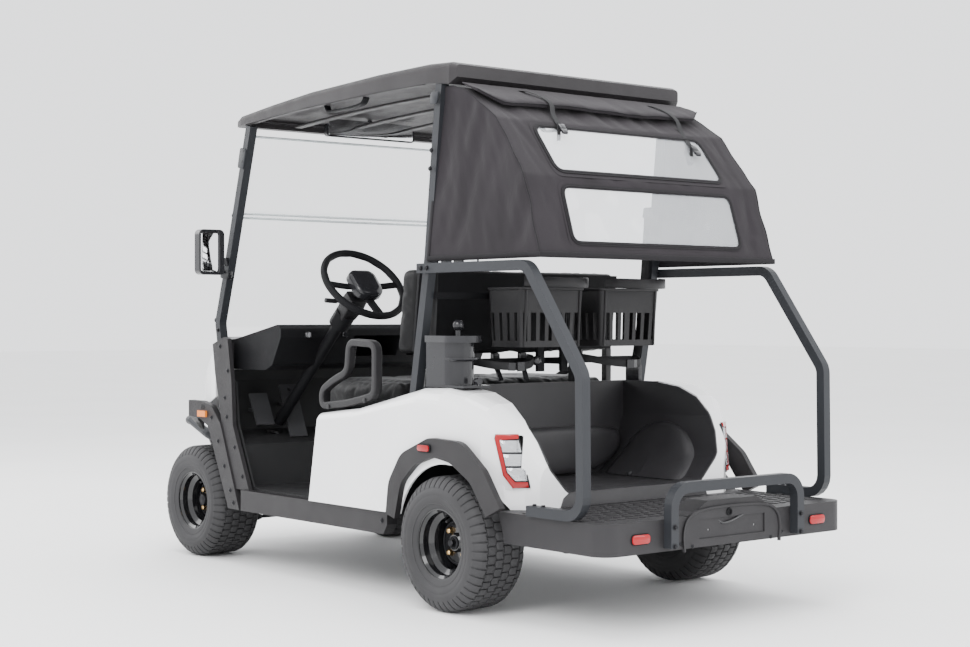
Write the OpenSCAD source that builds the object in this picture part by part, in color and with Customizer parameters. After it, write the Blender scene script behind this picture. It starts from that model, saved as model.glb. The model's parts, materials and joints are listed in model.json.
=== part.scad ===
// Two-seat electric golf cart with a bag well, a roof and a fabric club cover.
// +X is forward, +Y is the driver's left, +Z is up. The origin is on the ground,
// under the centre of the cart. All sizes are in millimetres.

/* [Overall] */
// Distance between the front and rear axles
wheelbase = 1670; // [1500:10:1900]
// Width across the white side panels
body_w = 1170; // [1000:10:1300]
// Height from the ground to the top of the roof
overall_h = 1790; // [1650:5:1950]

/* [Wheels] */
// Outer radius of a tyre
tyre_r = 220; // [190:1:260]
// Width of a tyre
tyre_w = 216; // [170:1:230]
// Radius of the rim flange that a tyre's bead seats on
rim_flange_r = 114; // [105:1:130]
// Radius of the spindle that a wheel turns on
spindle_r = 15; // [10:1:20]
// Radial play of a shaft in its bore
running_gap = 0.05; // [0.02:0.01:0.1]

/* [Body panels] */
// Wall of the white body mouldings
body_wall = 8; // [4:0.5:15]
// Wall of the black bag well
well_wall = 6; // [3:0.5:12]
// Depth of the bag well below its rim
well_depth = 340; // [250:5:345]
// Width across the bag well at its rim
well_w = 860; // [700:10:900]
// Thickness of the floor
floor_t = 10; // [6:1:20]
// Height of the door sill panels
rocker_h = 78; // [50:1:110]

/* [Seat] */
// Width across the seat cushion
seat_w = 960; // [800:10:1000]
// Thickness of the seat cushion
cushion_t = 105; // [60:5:140]
// Length of the seat cushion from front to back
cushion_l = 435; // [400:5:500]
// Height of the seat back's pad
back_h = 285; // [200:5:350]

/* [Tubes] */
// Width of the square tube of the posts and the rear frame
post_w = 32; // [25:1:40]
// Diameter of the round tube of the front bumper
bumper_d = 38; // [25:1:50]

/* [Rear deck] */
// Length of the deck behind the body
deck_l = 526; // [350:5:560]
// Height of the deck's side
deck_h = 97; // [60:1:110]
// Distance between the two plate bolt holes
plate_pitch = 210; // [150:5:260]
// Radius of each plate bolt hole
plate_hole_r = 3.5; // [2:0.1:5]

/* [Steering] */
// Diameter of the steering wheel
wheel_d = 350; // [300:5:400]
// Slope of the steering column above level
column_slope = 43; // [30:1:60]

/* [Club cover] */
// Thickness of the cover's cloth and padding
cloth_t = 6; // [3:0.5:12]
// Depth of the cover behind the rear posts
cover_l = 568; // [400:5:650]

/* [Hidden] */
$fn = 48;
e = 0.01;
// A hand's width of shift carries the nose, the upper body and the body on its wheels
nose = wheelbase - 1670;
rise = overall_h - 1790 - (tyre_r - 220);
lift = tyre_r - 220;
side = body_w / 2;
seam = 0.3;

rear_x = -680;
front_x = rear_x + wheelbase;
rear_track = side - 68;
front_track = side - 127;
king_y = front_track - 138;
arm_l = 120;

sill_z = 294;
floor_z = 300;
rail_y = 130;
rail_w = 40;
rail_h = floor_z - floor_t - seam - 228;
rear_rail_z = 284;
rear_rail_h = 46;
deck_top = 342;
deck_x0 = -862;
deck_x1 = deck_x0 - deck_l;
deck_half = side - 32;
deck_wall = 10;
well_front = -460;
well_rear = -962;
well_rim = 719;
well_floor = well_rim - well_depth;
seat_z = 619;
hinge = [142, seat_z];
cushion_x0 = hinge[0] - cushion_l;
hinge_pin_r = 4;
back_z = 828;
// The seat back starts behind the arc that the lifted cushion's rear edge follows
back_x = hinge[0] - sqrt(pow(norm([cushion_l, cushion_t]), 2) - pow(back_z - seat_z, 2)) - 4;
post_y = side - 65;
front_post_y = side - 55;
trim_y = front_post_y + post_w / 2 + 0.5;
trim_t = 23;
post_foot = [-490, -396];
post_seat = 678;
guard_y = 289;
guard_top = 452;

// Top edge of the body: distance along the cart, half width, height, corner radius
BODY = [
  [110, side, 604, 30], [51, side, 611, 30], [-173, side, 636, 34], [-384, side, 684, 44],
  [-518, side, 716, 56], [-640, side, 720, 66], [-746, side - 4, 706, 74], [-830, side - 26, 674, 80],
  [-890, side - 70, 622, 80], [-935, side - 120, 560, 80], [-962, side - 160, 490, 70]
];
// Gap from the tyre to the outer and inner edges of a rear flare, by angle about the axle
FLARE_OUT = [[14, 83], [33, 113], [53, 130], [80, 125], [107, 130], [131, 113], [155, 112]];
FLARE_IN = [[14, 32], [41, 60], [62, 62], [82, 61], [101, 50], [126, 40], [155, 36]];
// Roof: distance along the cart, half width, lower edge, top, corner radius
ROOF = [
  [672 + nose, side - 60, 1680, 1692, 5], [655 + nose, side - 40, 1680, 1706, 10],
  [620 + nose, side - 32, 1682, 1720, 16], [400 + nose, side - 28, 1696, 1742, 18],
  [146, side - 28, 1709, 1764, 20], [-252, side - 36, 1721, 1783, 20], [-520, side - 48, 1724, 1790, 20],
  [-630, side - 56, 1713, 1786, 20], [-655, side - 70, 1735, 1776, 12]
];
// Hood: distance along the cart, half width, lower edge, top, corner radius
HOOD = [
  [820, side - 40, 640, 874, 60], [870, side - 50, 620, 858, 80], [950, side - 78, 600, 820, 90],
  [1050, side - 125, 560, 772, 95], [1150, side - 190, 530, 712, 90], [1230, side - 250, 505, 650, 80],
  [1280, side - 300, 495, 596, 40], [1296, side - 330, 500, 570, 30]
];

// ---- Functions ----
function unit(v) = v / norm(v);
function polar(c, r, a) = [c[0] + r * cos(a), c[1] + r * sin(a)];
function wrap(a) = a > 180 ? a - 360 : (a < -180 ? a + 360 : a);

// The corner at b of the path a, b, c, rounded to radius r in n steps
function corner(a, b, c, r, n) =
  let (u = unit(a - b), v = unit(c - b))
  let (half = acos(max(-1, min(1, u * v))) / 2)
  let (d = min(r / tan(half), norm(a - b) * 0.49, norm(c - b) * 0.49))
  let (q = d * tan(half), m = b + unit(u + v) * q / sin(half))
  let (a0 = atan2((b + u * d - m)[1], (b + u * d - m)[0]), a1 = atan2((b + v * d - m)[1], (b + v * d - m)[0]))
  [for (i = [0:n]) polar(m, q, a0 + wrap(a1 - a0) * i / n)];

// An open path with each inner corner rounded
function rounded(p, r, n = 5) = concat(
  [p[0]],
  [for (i = [1:len(p) - 2]) each corner(p[i - 1], p[i], p[i + 1], r, n)],
  [p[len(p) - 1]]
);

// A closed outline with each corner rounded
function rounded_loop(p, r, n = 5) =
  [for (i = [0:len(p) - 1]) each corner(p[(i + len(p) - 1) % len(p)], p[i], p[(i + 1) % len(p)], r, n)];

// The normal at point i of path p, scaled so that an offset keeps its distance at a bend
function miter(p, i) =
  let (a = i > 0 ? unit(p[i] - p[i - 1]) : unit(p[1] - p[0]))
  let (b = i < len(p) - 1 ? unit(p[i + 1] - p[i]) : a)
  let (m = unit(a + b))
  [-m[1], m[0]] / (m * a);
function beside(p, d) = [for (i = [0:len(p) - 1]) p[i] + miter(p, i) * d];
// A strip from a to b to the left of path p, as one outline
function strip(p, a, b) =
  let (u = beside(p, a), v = beside(p, b))
  concat(u, [for (i = [len(v) - 1:-1:0]) v[i]]);
function stroke(p, w) = strip(p, -w / 2, w / 2);

// Height of the body's top edge at x
function body_top(x) = lookup(x, [for (s = BODY) [s[0], s[2]]]);
// Side view of a front post, from the roof down to its sleeve
function front_post_path() = [
  [576.7 + nose, 1678.5 + rise - (post_w - 32) / 8], [606 + nose, 1579 + rise], [745 + nose, 1118], [806 + nose, 930],
  [790 + nose, 850], [752 + nose, 742]
];
function rear_post_path() = [[-584, 1716.7 + rise - (post_w - 32) / 8], [-557, 1464 + rise / 2], [-524, 1152], [-440, 684]];
// A point on the steering axis, t below the wheel's hub
wheel_c = [168 + nose, 300, 1073];
wheel_y = min(300, side - 270);
function on_column(t) = [wheel_c[0] + t * cos(column_slope), wheel_y, wheel_c[2] - t * sin(column_slope)];

// ---- Shared shapes ----
module both() {
  children();
  mirror([0, 1, 0]) children();
}
// A side view (x, z), drawn from y0 to y1
module side_plate(pts, y0, y1) {
  translate([0, y1, 0]) rotate([90, 0, 0]) linear_extrude(y1 - y0) polygon(pts);
}
// A rear view (y, z), drawn from x0 to x1
module cross_plate(pts, x0, x1) {
  translate([x0, 0, 0]) rotate([90, 0, 90]) linear_extrude(x1 - x0) polygon(pts);
}
module box(x, y, z) {
  translate([x[0], y[0], z[0]]) cube([x[1] - x[0], y[1] - y[0], z[1] - z[0]]);
}
module tube_y(c, r, y0, y1) {
  translate([c[0], y1, c[1]]) rotate([90, 0, 0]) cylinder(r = r, h = y1 - y0);
}
module slab_outline(half, z0, z1, r) {
  hull() {
    for (s = [-1, 1]) {
      translate([s * (half - r), z1 - r]) circle(r, $fn = 32);
      translate([s * half - (s > 0 ? 1 : 0), z0]) square(1);
    }
  }
}
// A skin through cross sections [x, half, z0, z1, r], made smaller by d on the sides and top
module skin(list, d) {
  for (i = [0:len(list) - 2]) {
    hull() {
      for (s = [list[i], list[i + 1]]) {
        translate([s[0], 0, 0]) rotate([90, 0, 90]) linear_extrude(e)
          slab_outline(s[1] - d, s[2], s[3] - d, s[4]);
      }
    }
  }
}

// ---- Wheels ----
// The tyre's outer outline on one side: height above the bead against distance from the middle
module tyre() {
  bead = rim_flange_r - 8.7;
  half = tyre_w / 2;
  crown = tyre_r - bead;
  foot = rim_half() - 0.5;
  wall = concat([[bead, foot - 8.5], [rim_flange_r + 1, foot]],
    [for (t = [0.15:0.12:0.87]) [bead + crown * t, half * (1 - pow(abs(t - 0.52), 2.6))]]);
  shoulder = [for (a = [0:30:90]) [tyre_r - 13 + 13 * sin(a), half * 0.87 - 13 + 13 * cos(a)]];
  half_out = concat(wall, shoulder);
  outer = concat(half_out, [for (i = [len(half_out) - 1:-1:0]) [half_out[i][0], -half_out[i][1]]]);
  air = [for (p = half_out) [p[0] < bead + 1 ? bead - 1 : p[0] - 6 * (p[0] - bead) / crown, p[1] - 12]];
  inner = concat(air, [for (i = [len(air) - 1:-1:0]) [air[i][0], -air[i][1]]]);
  color("#1c1c1d") rotate([90, 0, 0]) rotate_extrude($fn = 96) difference() {
    polygon(outer);
    polygon(inner);
  }
}
// A pressed steel rim with its outer face towards +Y and its hub on the spindle
hub_y0 = -62;
function rim_half() = tyre_w / 2 * 0.8;
module rim() {
  bead = rim_flange_r - 9;
  half = rim_half();
  t = 3.5;
  drop = bead - 16;
  barrel = [
    [rim_flange_r, half + 4], [rim_flange_r, half], [bead, half - 8], [bead, half - 30], [drop, half - 42],
    [drop, -half + 42], [bead, -half + 30], [bead, -half + 8], [rim_flange_r, -half], [rim_flange_r, -half - 4]
  ];
  color("#141415") difference() {
    rotate([90, 0, 0]) rotate_extrude($fn = 96) {
      polygon(concat(barrel, [for (i = [len(barrel) - 1:-1:0]) barrel[i] - [t, 0]]));
      polygon([[drop - 2, -6], [drop - 2, -1], [70, 14], [30, 14], [30, 9], [66, 9]]);
      polygon([
        [spindle_r + running_gap, hub_y0], [32, hub_y0], [32, 24], [26, 30], [0, 30], [0, 20],
        [spindle_r + running_gap, 20]
      ]);
    }
    for (a = [45:90:315]) rotate([0, a, 0]) translate([50.8, 0, 0]) tube_y([0, 0], 6.5, -30, 5);
  }
}
module at_wheel(x, y) {
  translate([x, y, tyre_r]) {
    if (y > 0) mirror([0, 1, 0]) children();
    else children();
  }
}
module tyre_front_left() { at_wheel(front_x, front_track) tyre(); }
module tyre_front_right() { at_wheel(front_x, -front_track) tyre(); }
module tyre_rear_left() { at_wheel(rear_x, rear_track) tyre(); }
module tyre_rear_right() { at_wheel(rear_x, -rear_track) tyre(); }
module rim_front_left() { at_wheel(front_x, front_track) rim(); }
module rim_front_right() { at_wheel(front_x, -front_track) rim(); }
module rim_rear_left() { at_wheel(rear_x, rear_track) rim(); }
module rim_rear_right() { at_wheel(rear_x, -rear_track) rim(); }

// ---- Chassis and running gear ----
axle_z = tyre_r;
rail_z = 228 + lift;
module chassis_frame() {
  color("#3c4046") {
    difference() {
      union() {
        both() {
          box([-330, 1180 + nose], [rail_y - rail_w / 2, rail_y + rail_w / 2], [rail_z, rail_z + rail_h]);
          box([deck_x1 + 60, -330], [rail_y - rail_w / 2, rail_y + rail_w / 2],
            [rear_rail_z + lift, rear_rail_z + rear_rail_h + lift]);
          box([-330, -300], [rail_y - rail_w / 2, rail_y + rail_w / 2],
            [rail_z, rear_rail_z + rear_rail_h + lift]);
        }
        for (x = [front_x - 300, front_x + 190]) {
          box([x - 15, x + 15], [-225, 225], [rail_z + 34, rail_z + rail_h]);
        }
        for (x = [rear_x - 300, rear_x + 300]) {
          box([x - 18, x + 18], [-368, 368], [rear_rail_z + lift, rear_rail_z + 30 + lift]);
        }
        for (x = [-60, 500 + nose]) {
          box([x - 20, x + 20], [-(side - 62), side - 62], [rail_z + 8, rail_z + rail_h]);
        }
      }
      for (x = [-60, 500 + nose]) box([x - 12, x + 12], [-side, side], [rail_z + 16, rail_z + rail_h - 8]);
    }
  }
}
module battery_pack() {
  color("#2b2d30") box([-290, 10], [-330, 330], [rail_z + rail_h, 560 + lift]);
}
module rear_axle() {
  inner = rear_track - tyre_w / 2 + 10;
  color("#2a2b2d") {
    tube_y([rear_x, axle_z], 28, -inner, inner);
    both() tube_y([rear_x, axle_z], spindle_r, inner, rear_track + 16);
    tube_y([rear_x, axle_z], 78, -70, 60);
    tube_y([rear_x + 120, axle_z], 60, 70, 240);
    box([rear_x, rear_x + 150], [-30, 70], [axle_z - 52, axle_z + 52]);
  }
}
spring_w = 45;
module spring(x, y, half_l, z_mid, z_end) {
  p = [for (t = [-1:0.125:1]) [x + half_l * t, z_mid + (z_end - z_mid) * t * t]];
  side_plate(stroke(p, 12), y - spring_w / 2, y + spring_w / 2);
  tube_y([x - half_l, z_end], 13, y - spring_w / 2, y + spring_w / 2);
  tube_y([x + half_l, z_end], 13, y - spring_w / 2, y + spring_w / 2);
}
module leaf_springs() {
  color("#232426") both() {
    spring(rear_x, 340, 290, axle_z + 34.3, rear_rail_z + lift - 13.3);
    spring(front_x - 55, 195, 240, axle_z + 26.5, rail_z + 34 - 13.3);
  }
}
king_top = 26;
module front_axle() {
  color("#2a2b2d") difference() {
    union() {
      box([front_x - 20, front_x + 20], [-king_y + 18, king_y - 18], [axle_z - 24, axle_z + 6]);
      both() box([front_x - 75, front_x + 18], [195 - spring_w / 2, 195 + spring_w / 2], [axle_z + 6, axle_z + 20]);
      both() translate([front_x, king_y, axle_z - king_top]) cylinder(r = 21, h = 2 * king_top);
    }
    both() translate([front_x, king_y, axle_z - 60]) cylinder(r = 10 + running_gap, h = 120);
  }
}
// The left knuckle: kingpin, yoke, spindle and the arm to the tie rod
module knuckle() {
  translate([front_x, king_y, axle_z]) {
    translate([0, 0, -king_top - 16]) cylinder(r = 10, h = 2 * king_top + 32);
    for (s = [-1, 1]) {
      translate([0, 0, s * (king_top + 9) - 7]) difference() {
        hull() {
          cylinder(r = 20, h = 14);
          translate([-20, 24, 0]) cube([40, 10, 14]);
        }
        translate([0, 0, -1]) cylinder(r = 9.9, h = 16);
      }
    }
    translate([-22, 34, -king_top - 16]) cube([44, 12, 2 * king_top + 32]);
    translate([0, 138 + 16, 0]) rotate([90, 0, 0]) cylinder(r = spindle_r, h = 138 + 16 - 46);
    difference() {
      union() {
        translate([-arm_l, -12, -58]) cube([arm_l + 8, 24, 12]);
        translate([-8, -12, -58]) cube([16, 24, 18]);
        translate([-arm_l, 0, -58]) cylinder(r = 15, h = 12);
      }
      translate([-arm_l, 0, -70]) cylinder(r = 6, h = 40);
    }
    translate([-arm_l, 0, -84]) cylinder(r = 6, h = 34);
  }
}
module knuckle_left() { color("#2a2b2d") knuckle(); }
module knuckle_right() { color("#2a2b2d") mirror([0, 1, 0]) knuckle(); }
module tie_rod() {
  x = front_x - arm_l;
  z = axle_z - 77;
  color("#3a3b3e") difference() {
    union() {
      tube_y([x, z + 6], 7, -king_y + 8, king_y - 8);
      both() translate([x, king_y, z - 3]) cylinder(r = 14, h = 18);
    }
    both() translate([x, king_y, z - 20]) cylinder(r = 6 + running_gap, h = 60);
  }
}

// ---- Floor and footwell ----
module on_body() { translate([0, 0, lift]) children(); }
module floor_pan() {
  well = [
    [58, floor_z - floor_t / 2], [640 + nose, floor_z - floor_t / 2], [662 + nose, 455], [840 + nose, 500]
  ];
  wall = [[839 + nose, 495], [880 + nose, 700], [868 + nose, 742]];
  cheek = [
    [520 + nose, floor_z], [634 + nose, floor_z], [655 + nose, 462], [800 + nose, 498], [800 + nose, 728],
    [740 + nose, 728], [690 + nose, 700], [672 + nose, 540], [560 + nose, 306]
  ];
  color("#1b1b1d") on_body() difference() {
    union() {
      side_plate(strip(well, -floor_t / 2, floor_t / 2), -side + 52, side - 52);
      side_plate(strip(wall, -5, 5), -side + 85, side - 85);
      both() side_plate(cheek, side - 60, side - 52);
      box([50, 58], [-side + 82, side - 82], [floor_z, seat_z - 10]);
    }
    column_hole(22 + seam);
  }
}
module column_hole(r) {
  p = on_column(-60);
  translate([p[0], p[1], p[2]]) rotate([0, 90 + column_slope, 0]) cylinder(r = r, h = 1200);
}
module rocker_panels() {
  color("#3a383b") on_body() both()
    side_plate([[-352, sill_z], [-352, 250], [-330, sill_z - rocker_h], [585 + nose, sill_z - rocker_h],
      [585 + nose, sill_z]], side - 52, side - 10);
}

// ---- Nose ----
module move_nose() { on_body() translate([nose, 0, 0]) children(); }
module front_cowl() {
  color("#f4f4f5") move_nose() difference() {
    skin(HOOD, 0);
    difference() {
      skin([for (s = HOOD) if (s[0] < 1290) [s[0] - 8, s[1], s[2] - 20, s[3], s[4]]], body_wall);
      box([1285, 1400], [-side, side], [0, 1000]);
    }
    both() side_plate(rounded([[700, 500], [830, 590], [960, 622], [1100, 560], [1200, 470], [1200, 300]], 80),
      side - 320, side);
    box([780, 1275], [-side, side], [400, 560]);
    both() headlamp_shape(1);
  }
}
module headlamp_shape(grow) {
  hull() {
    translate([1222, 195, 588]) rotate([0, 90, -25]) cylinder(r = 30 + grow, h = 40);
    translate([1180, 275, 606]) rotate([0, 90, -40]) cylinder(r = 26 + grow, h = 40);
  }
}
module headlamps() { color("#dfe6ee") move_nose() both() headlamp_shape(0); }
module front_fascia() {
  color("#3a383b") move_nose() {
    box([1240, 1300], [-300, 300], [462, 494]);
    hull() {
      box([1288, 1300], [-296, 296], [440, 462]);
      box([1262, 1290], [-225, 225], [250, 260]);
    }
    both() box([1195, 1264], [rail_y - 15, rail_y + 15], [252, 282]);
  }
}
// The line at height z where the door trim meets the front flare's leg
function strip_seam(z) = [640 + (z - 294) * 0.427, z];
module front_flares() {
  outer = [strip_seam(216), strip_seam(540), [812, 606], [890, 622], [985, 622]];
  color("#3a383b") move_nose() both() {
    side_plate(concat(rounded(outer, 60), [[985, 560], [900, 552], [838, 526], [686, 216]]),
      trim_y, trim_y + trim_t);
    hull() {
      box([985, 987], [trim_y - 6, trim_y + trim_t], [560, 622]);
      box([1130, 1132], [side - 150, side - 130], [520, 592]);
    }
    hull() {
      box([1130, 1132], [side - 150, side - 130], [520, 592]);
      box([1190, 1192], [side - 206, side - 190], [486, 540]);
    }
  }
}
module door_trims() {
  out = [strip_seam(sill_z) - [seam, 0], strip_seam(540) - [seam, 0], [786, 706]];
  in = [[728, 874], [700, 868], [672, 706], [662, 536], [545, sill_z]];
  color("#3a383b") move_nose() both() {
    side_plate(concat(out, [[793, 729], [812, 846]], in), trim_y, trim_y + trim_t - 6);
    difference() {
      hull() {
        side_plate([[816, 850], [740, 852], [745, 760], [786, 730]], front_post_y - 22, trim_y);
      }
      move_sleeve_hole();
    }
  }
}
module move_sleeve_hole() {
  translate([-nose, 0, 0]) side_plate(stroke(front_post_path(), post_w + 1), front_post_y - post_w / 2 - 0.5,
    front_post_y + post_w / 2 + 0.5);
}
module dashboard() {
  face = [[814, 862], [735, 866], [429, 924], [408, 905], [412, 872], [470, 770], [520, 750], [814, 750]];
  color("#1d1d1f") difference() {
    on_body() translate([nose, 0, 0]) difference() {
      side_plate(rounded_loop(face, 14), -front_post_y + 22 + seam, front_post_y - 22 - seam);
      box([380, 590], [-60, 170], [800, 880]);
      box([380, 590], [-side + 110, -110], [800, 880]);
    }
    on_body() column_hole(22 + seam);
  }
}

// ---- Windshield, posts and roof ----
module canopy_posts() {
  color("#2f333a") on_body() both() {
    side_plate(stroke(rounded(front_post_path(), 60), post_w), front_post_y - post_w / 2, front_post_y + post_w / 2);
    side_plate(stroke(rear_post_path(), post_w), post_y - post_w / 2, post_y + post_w / 2);
    box(post_foot, [post_y - 26, post_y + 26], [post_seat + seam, post_seat + 6]);
  }
}
module windshield() {
  a = front_post_path()[1];
  b = front_post_path()[2];
  slope = (b - a) / (a[1] - b[1]);
  g = unit(b - a);
  n = [g[1], -g[0]] * -1;
  front = post_w / 2 + 0.3;
  below = (front_post_path()[3][0] - b[0]) / (b[1] - front_post_path()[3][1]);
  at = function (z, d) [z > b[1] ? a[0] + (a[1] - z) * slope[0] : b[0] + (b[1] - z) * below, z] + n * d;
  color([0.85, 0.92, 0.95, 0.35]) on_body() {
    difference() {
      side_plate([at(1640 + rise, front), at(1330, front), at(1330, front + 5), at(1640 + rise, front + 5)],
        -front_post_y - 10, front_post_y + 10);
      both() box([0, 900 + nose], [front_post_y - post_w / 2 - 1, side], [1612 + rise, 1700 + rise]);
    }
    side_plate([at(1360, front + 5), at(b[1], front + 5), at(905, front + 5), at(905, front + 10),
      at(b[1], front + 10), at(1360, front + 10)],
      -front_post_y - 10, front_post_y + 10);
  }
}
module roof() {
  color("#3b3a3d") on_body() translate([0, 0, rise]) difference() {
    skin(ROOF, 0);
    for (i = [1:len(ROOF) - 3]) {
      hull() {
        for (s = [ROOF[i], ROOF[i + 1]]) {
          translate([s[0] + (i == 1 ? -20 : 0), 0, 0]) rotate([90, 0, 90]) linear_extrude(e)
            slab_outline(s[1] - 30, s[2] - 40, s[3] - 7, 12);
        }
      }
    }
  }
}

// ---- Body and deck ----
function well_path() = rounded([
  [well_w / 2, well_rim], [well_w / 2 - 4, 600], [well_w / 2 - 40, 470], [well_w / 2 - 128, well_floor],
  [-well_w / 2 + 128, well_floor], [-well_w / 2 + 40, 470], [-well_w / 2 + 4, 600], [-well_w / 2, well_rim]
], 70);
module well_solid(grow, x0, x1) {
  p = well_path();
  w = beside(p, grow);
  cross_plate(concat(w, [[-well_w / 2 - grow, 900], [well_w / 2 + grow, 900]]), x0, x1);
}
module bag_well() {
  color("#242426") on_body() {
    difference() {
      cross_plate(strip(well_path(), 0, -well_wall), well_rear, well_front - well_wall);
      rear_slope();
    }
    cross_plate(well_path(), well_front - well_wall, well_front);
  }
}
// The body's rear corner as a side view, for trimming what follows it
module rear_slope() {
  pts = concat([for (s = BODY) if (s[0] < -600) [s[0], s[2] - 4]], [[-1100, 480], [-1100, 900], [-640, 900]]);
  side_plate(pts, -side, side);
}
module arch_cut() {
  both() tube_y([rear_x, tyre_r - lift], tyre_r + 36, well_w / 2 - 40, side + 50);
}
module seat_base() {
  color("#1d1d1f") on_body() {
    difference() {
      box([-330, 49.7], [-side + 82, side - 82], [floor_z, seat_z]);
      box([-324, 44], [-side + 88, side - 88], [0, seat_z - 6]);
      box([-300, 20], [-335, 335], [0, 900]);
      both() box([-335, -295], [rail_y - rail_w / 2 - 1, rail_y + rail_w / 2 + 1], [0, rear_rail_z + rear_rail_h + 1]);
    }
    both() {
      box([40, hinge[0] - 2], [341, 349], [seat_z - 8, seat_z - 0.1]);
      tube_y(hinge, 1.5 * hinge_pin_r, 341, 349);
      tube_y(hinge, hinge_pin_r, 301, 349);
    }
  }
}
module rear_body() {
  color("#f4f4f5") on_body() difference() {
    union() {
      difference() {
        skin([for (s = BODY) [s[0], s[1], sill_z + seam, s[2], s[3]]], 0);
        skin([for (s = BODY) [s[0] + (s[0] > 100 ? 9 : 0) + (s[0] < -950 ? 10 : 0), s[1], 0, s[2], s[3]]], body_wall);
        box([-338, 300], [-side + 81.7, side - 81.7], [0, 900]);
      }
    }
    side_plate([[108, sill_z], [51, 611], [51, 700], [300, 700], [300, 0], [108, 0]], -side - 1, side + 1);
    well_solid(seam, -1100, well_front + seam);
    arch_cut();
    box([-1100, deck_x0 + seam], [-side, side], [0, deck_top + seam]);
    both() box(post_foot + [-1, 1], [post_y - 27, post_y + 27], [post_seat, 800]);
    both() tail_lamp_shape(0.6);
  }
}
module rear_flares() {
  c = [rear_x, tyre_r];
  outer = rounded([for (f = FLARE_OUT) polar(c, tyre_r + f[1], f[0])], 90);
  inner = rounded([for (f = FLARE_IN) polar(c, tyre_r + f[1], f[0])], 90);
  color("#3a383b") both()
    side_plate(concat(outer, [for (i = [len(inner) - 1:-1:0]) inner[i]]), side + seam, side + 22);
}
module deck_outline(d) {
  r = 62 - d;
  hull() {
    for (s = [-1, 1]) {
      translate([deck_x1 + d + r, s * (deck_half - d - r)]) circle(r);
      translate([deck_x0 - 1, s * (deck_half - d - 1)]) square(1, center = true);
    }
  }
}
module rear_deck() {
  hump = [[-212, deck_top], [-170, deck_top + 12], [-112, 386], [112, 386], [170, deck_top + 12], [212, deck_top]];
  color("#3a383b") on_body() difference() {
    union() {
      translate([0, 0, deck_top - deck_h]) linear_extrude(deck_h) deck_outline(0);
      cross_plate(rounded_loop(concat(hump, [[212, 300], [-212, 300]]), 20), deck_x1, deck_x1 + 90);
    }
    translate([0, 0, 0]) linear_extrude(deck_top - deck_wall) deck_outline(deck_wall);
    arch_cut();
    box([deck_x1 - 1, deck_x1 + 4], [-150, 150], [270, 330]);
    both() translate([deck_x1 - 5, plate_pitch / 2, 295]) rotate([0, 90, 0]) cylinder(r = plate_hole_r, h = 40);
  }
}
module deck_guard_bar() {
  p = rounded([[-guard_y, 256], [-guard_y, guard_top - 16], [guard_y, guard_top - 16], [guard_y, 256]], 62, 8);
  color("#2f333a") on_body()
    cross_plate(stroke(p, post_w), deck_x1 - post_w, deck_x1);
}
// A round tube swept along the points of path p
module sweep(p, r, n = 16) {
  ring = function (i)
    let (t = unit(p[min(i + 1, len(p) - 1)] - p[max(i - 1, 0)]))
    let (u = unit(cross(t, [0, 0, 1])), v = cross(u, t))
    [for (k = [0:n - 1]) p[i] + r * (cos(360 * k / n) * u + sin(360 * k / n) * v)];
  last = len(p) - 1;
  polyhedron(
    [for (i = [0:last]) each ring(i)],
    concat(
      [[for (k = [n - 1:-1:0]) k]],
      [for (i = [0:last - 1], k = [0:n - 1])
        [i * n + k, i * n + (k + 1) % n, (i + 1) * n + (k + 1) % n, (i + 1) * n + k]],
      [[for (k = [0:n - 1]) last * n + k]]
    ), convexity = 8);
}
module front_bumper_bar() {
  half = rounded([[1400, 0], [1400, 352], [1160, 352], [1160, 146]], 60, 6);
  thin = (38 - bumper_d) / 2;
  drop = function (q) lookup(q[0], [[1160, 446], [1330, 516], [1400, 516]])
    - (q[0] < 1250 ? max(0, 283 - q[1]) * (1.0423 + thin / 137) : 0);
  side_pts = [for (q = half) [q[0], q[1], drop(q)]];
  color("#26272a") move_nose()
    sweep(concat([for (i = [len(side_pts) - 1:-1:1]) side_pts[i]], [for (i = [1:len(side_pts) - 1])
      [side_pts[i][0], -side_pts[i][1], side_pts[i][2]]]), bumper_d / 2);
}
module cover_side_tubes() {
  p = rounded([[-506, 1112], [-1052, 1112], [-1295, 779], [-1300, deck_top + post_w / 2],
    [-1058, deck_top + post_w / 2]], 60);
  color("#2f333a") on_body() both() side_plate(stroke(p, post_w), post_y + post_w / 2, post_y + 1.5 * post_w);
}

// ---- Club cover ----
// The cover keeps its shape as the roof rises: a height above its hem is stretched with it
function cover_z(z) = 1138 + (z - 1138) * (448 + rise) / 448;
module cover_hull(d) {
  x0 = -524;
  x1 = x0 - cover_l;
  top = 1704 + rise;
  low = 1138 - (d > 0 ? 10 : 0);
  hull() {
    for (s = [-1, 1]) {
      for (q = [
        [x0 - 4, low, side - 46], [x1 + d - (1138 - low) * 82 / 257, low, side - 46], [x1 + 82 + d, cover_z(1395), side - 51],
        [x1 + 230 + d, cover_z(1586), side - 61], [-690, 1690 + rise - d, side - 66],
        [-640, top - d, side - 66], [-586, top - d, side - 66]
      ]) {
        translate([q[0], s * (q[2] - d - 2), q[1]]) rotate([90, 0, 0])
          cylinder(r = 2, h = 2, center = true, $fn = 12);
      }
    }
  }
}
window_low = [[cover_z(1182), cover_z(1364)], side - 195];
window_high = [[cover_z(1412), cover_z(1566)], side - 200];
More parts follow.
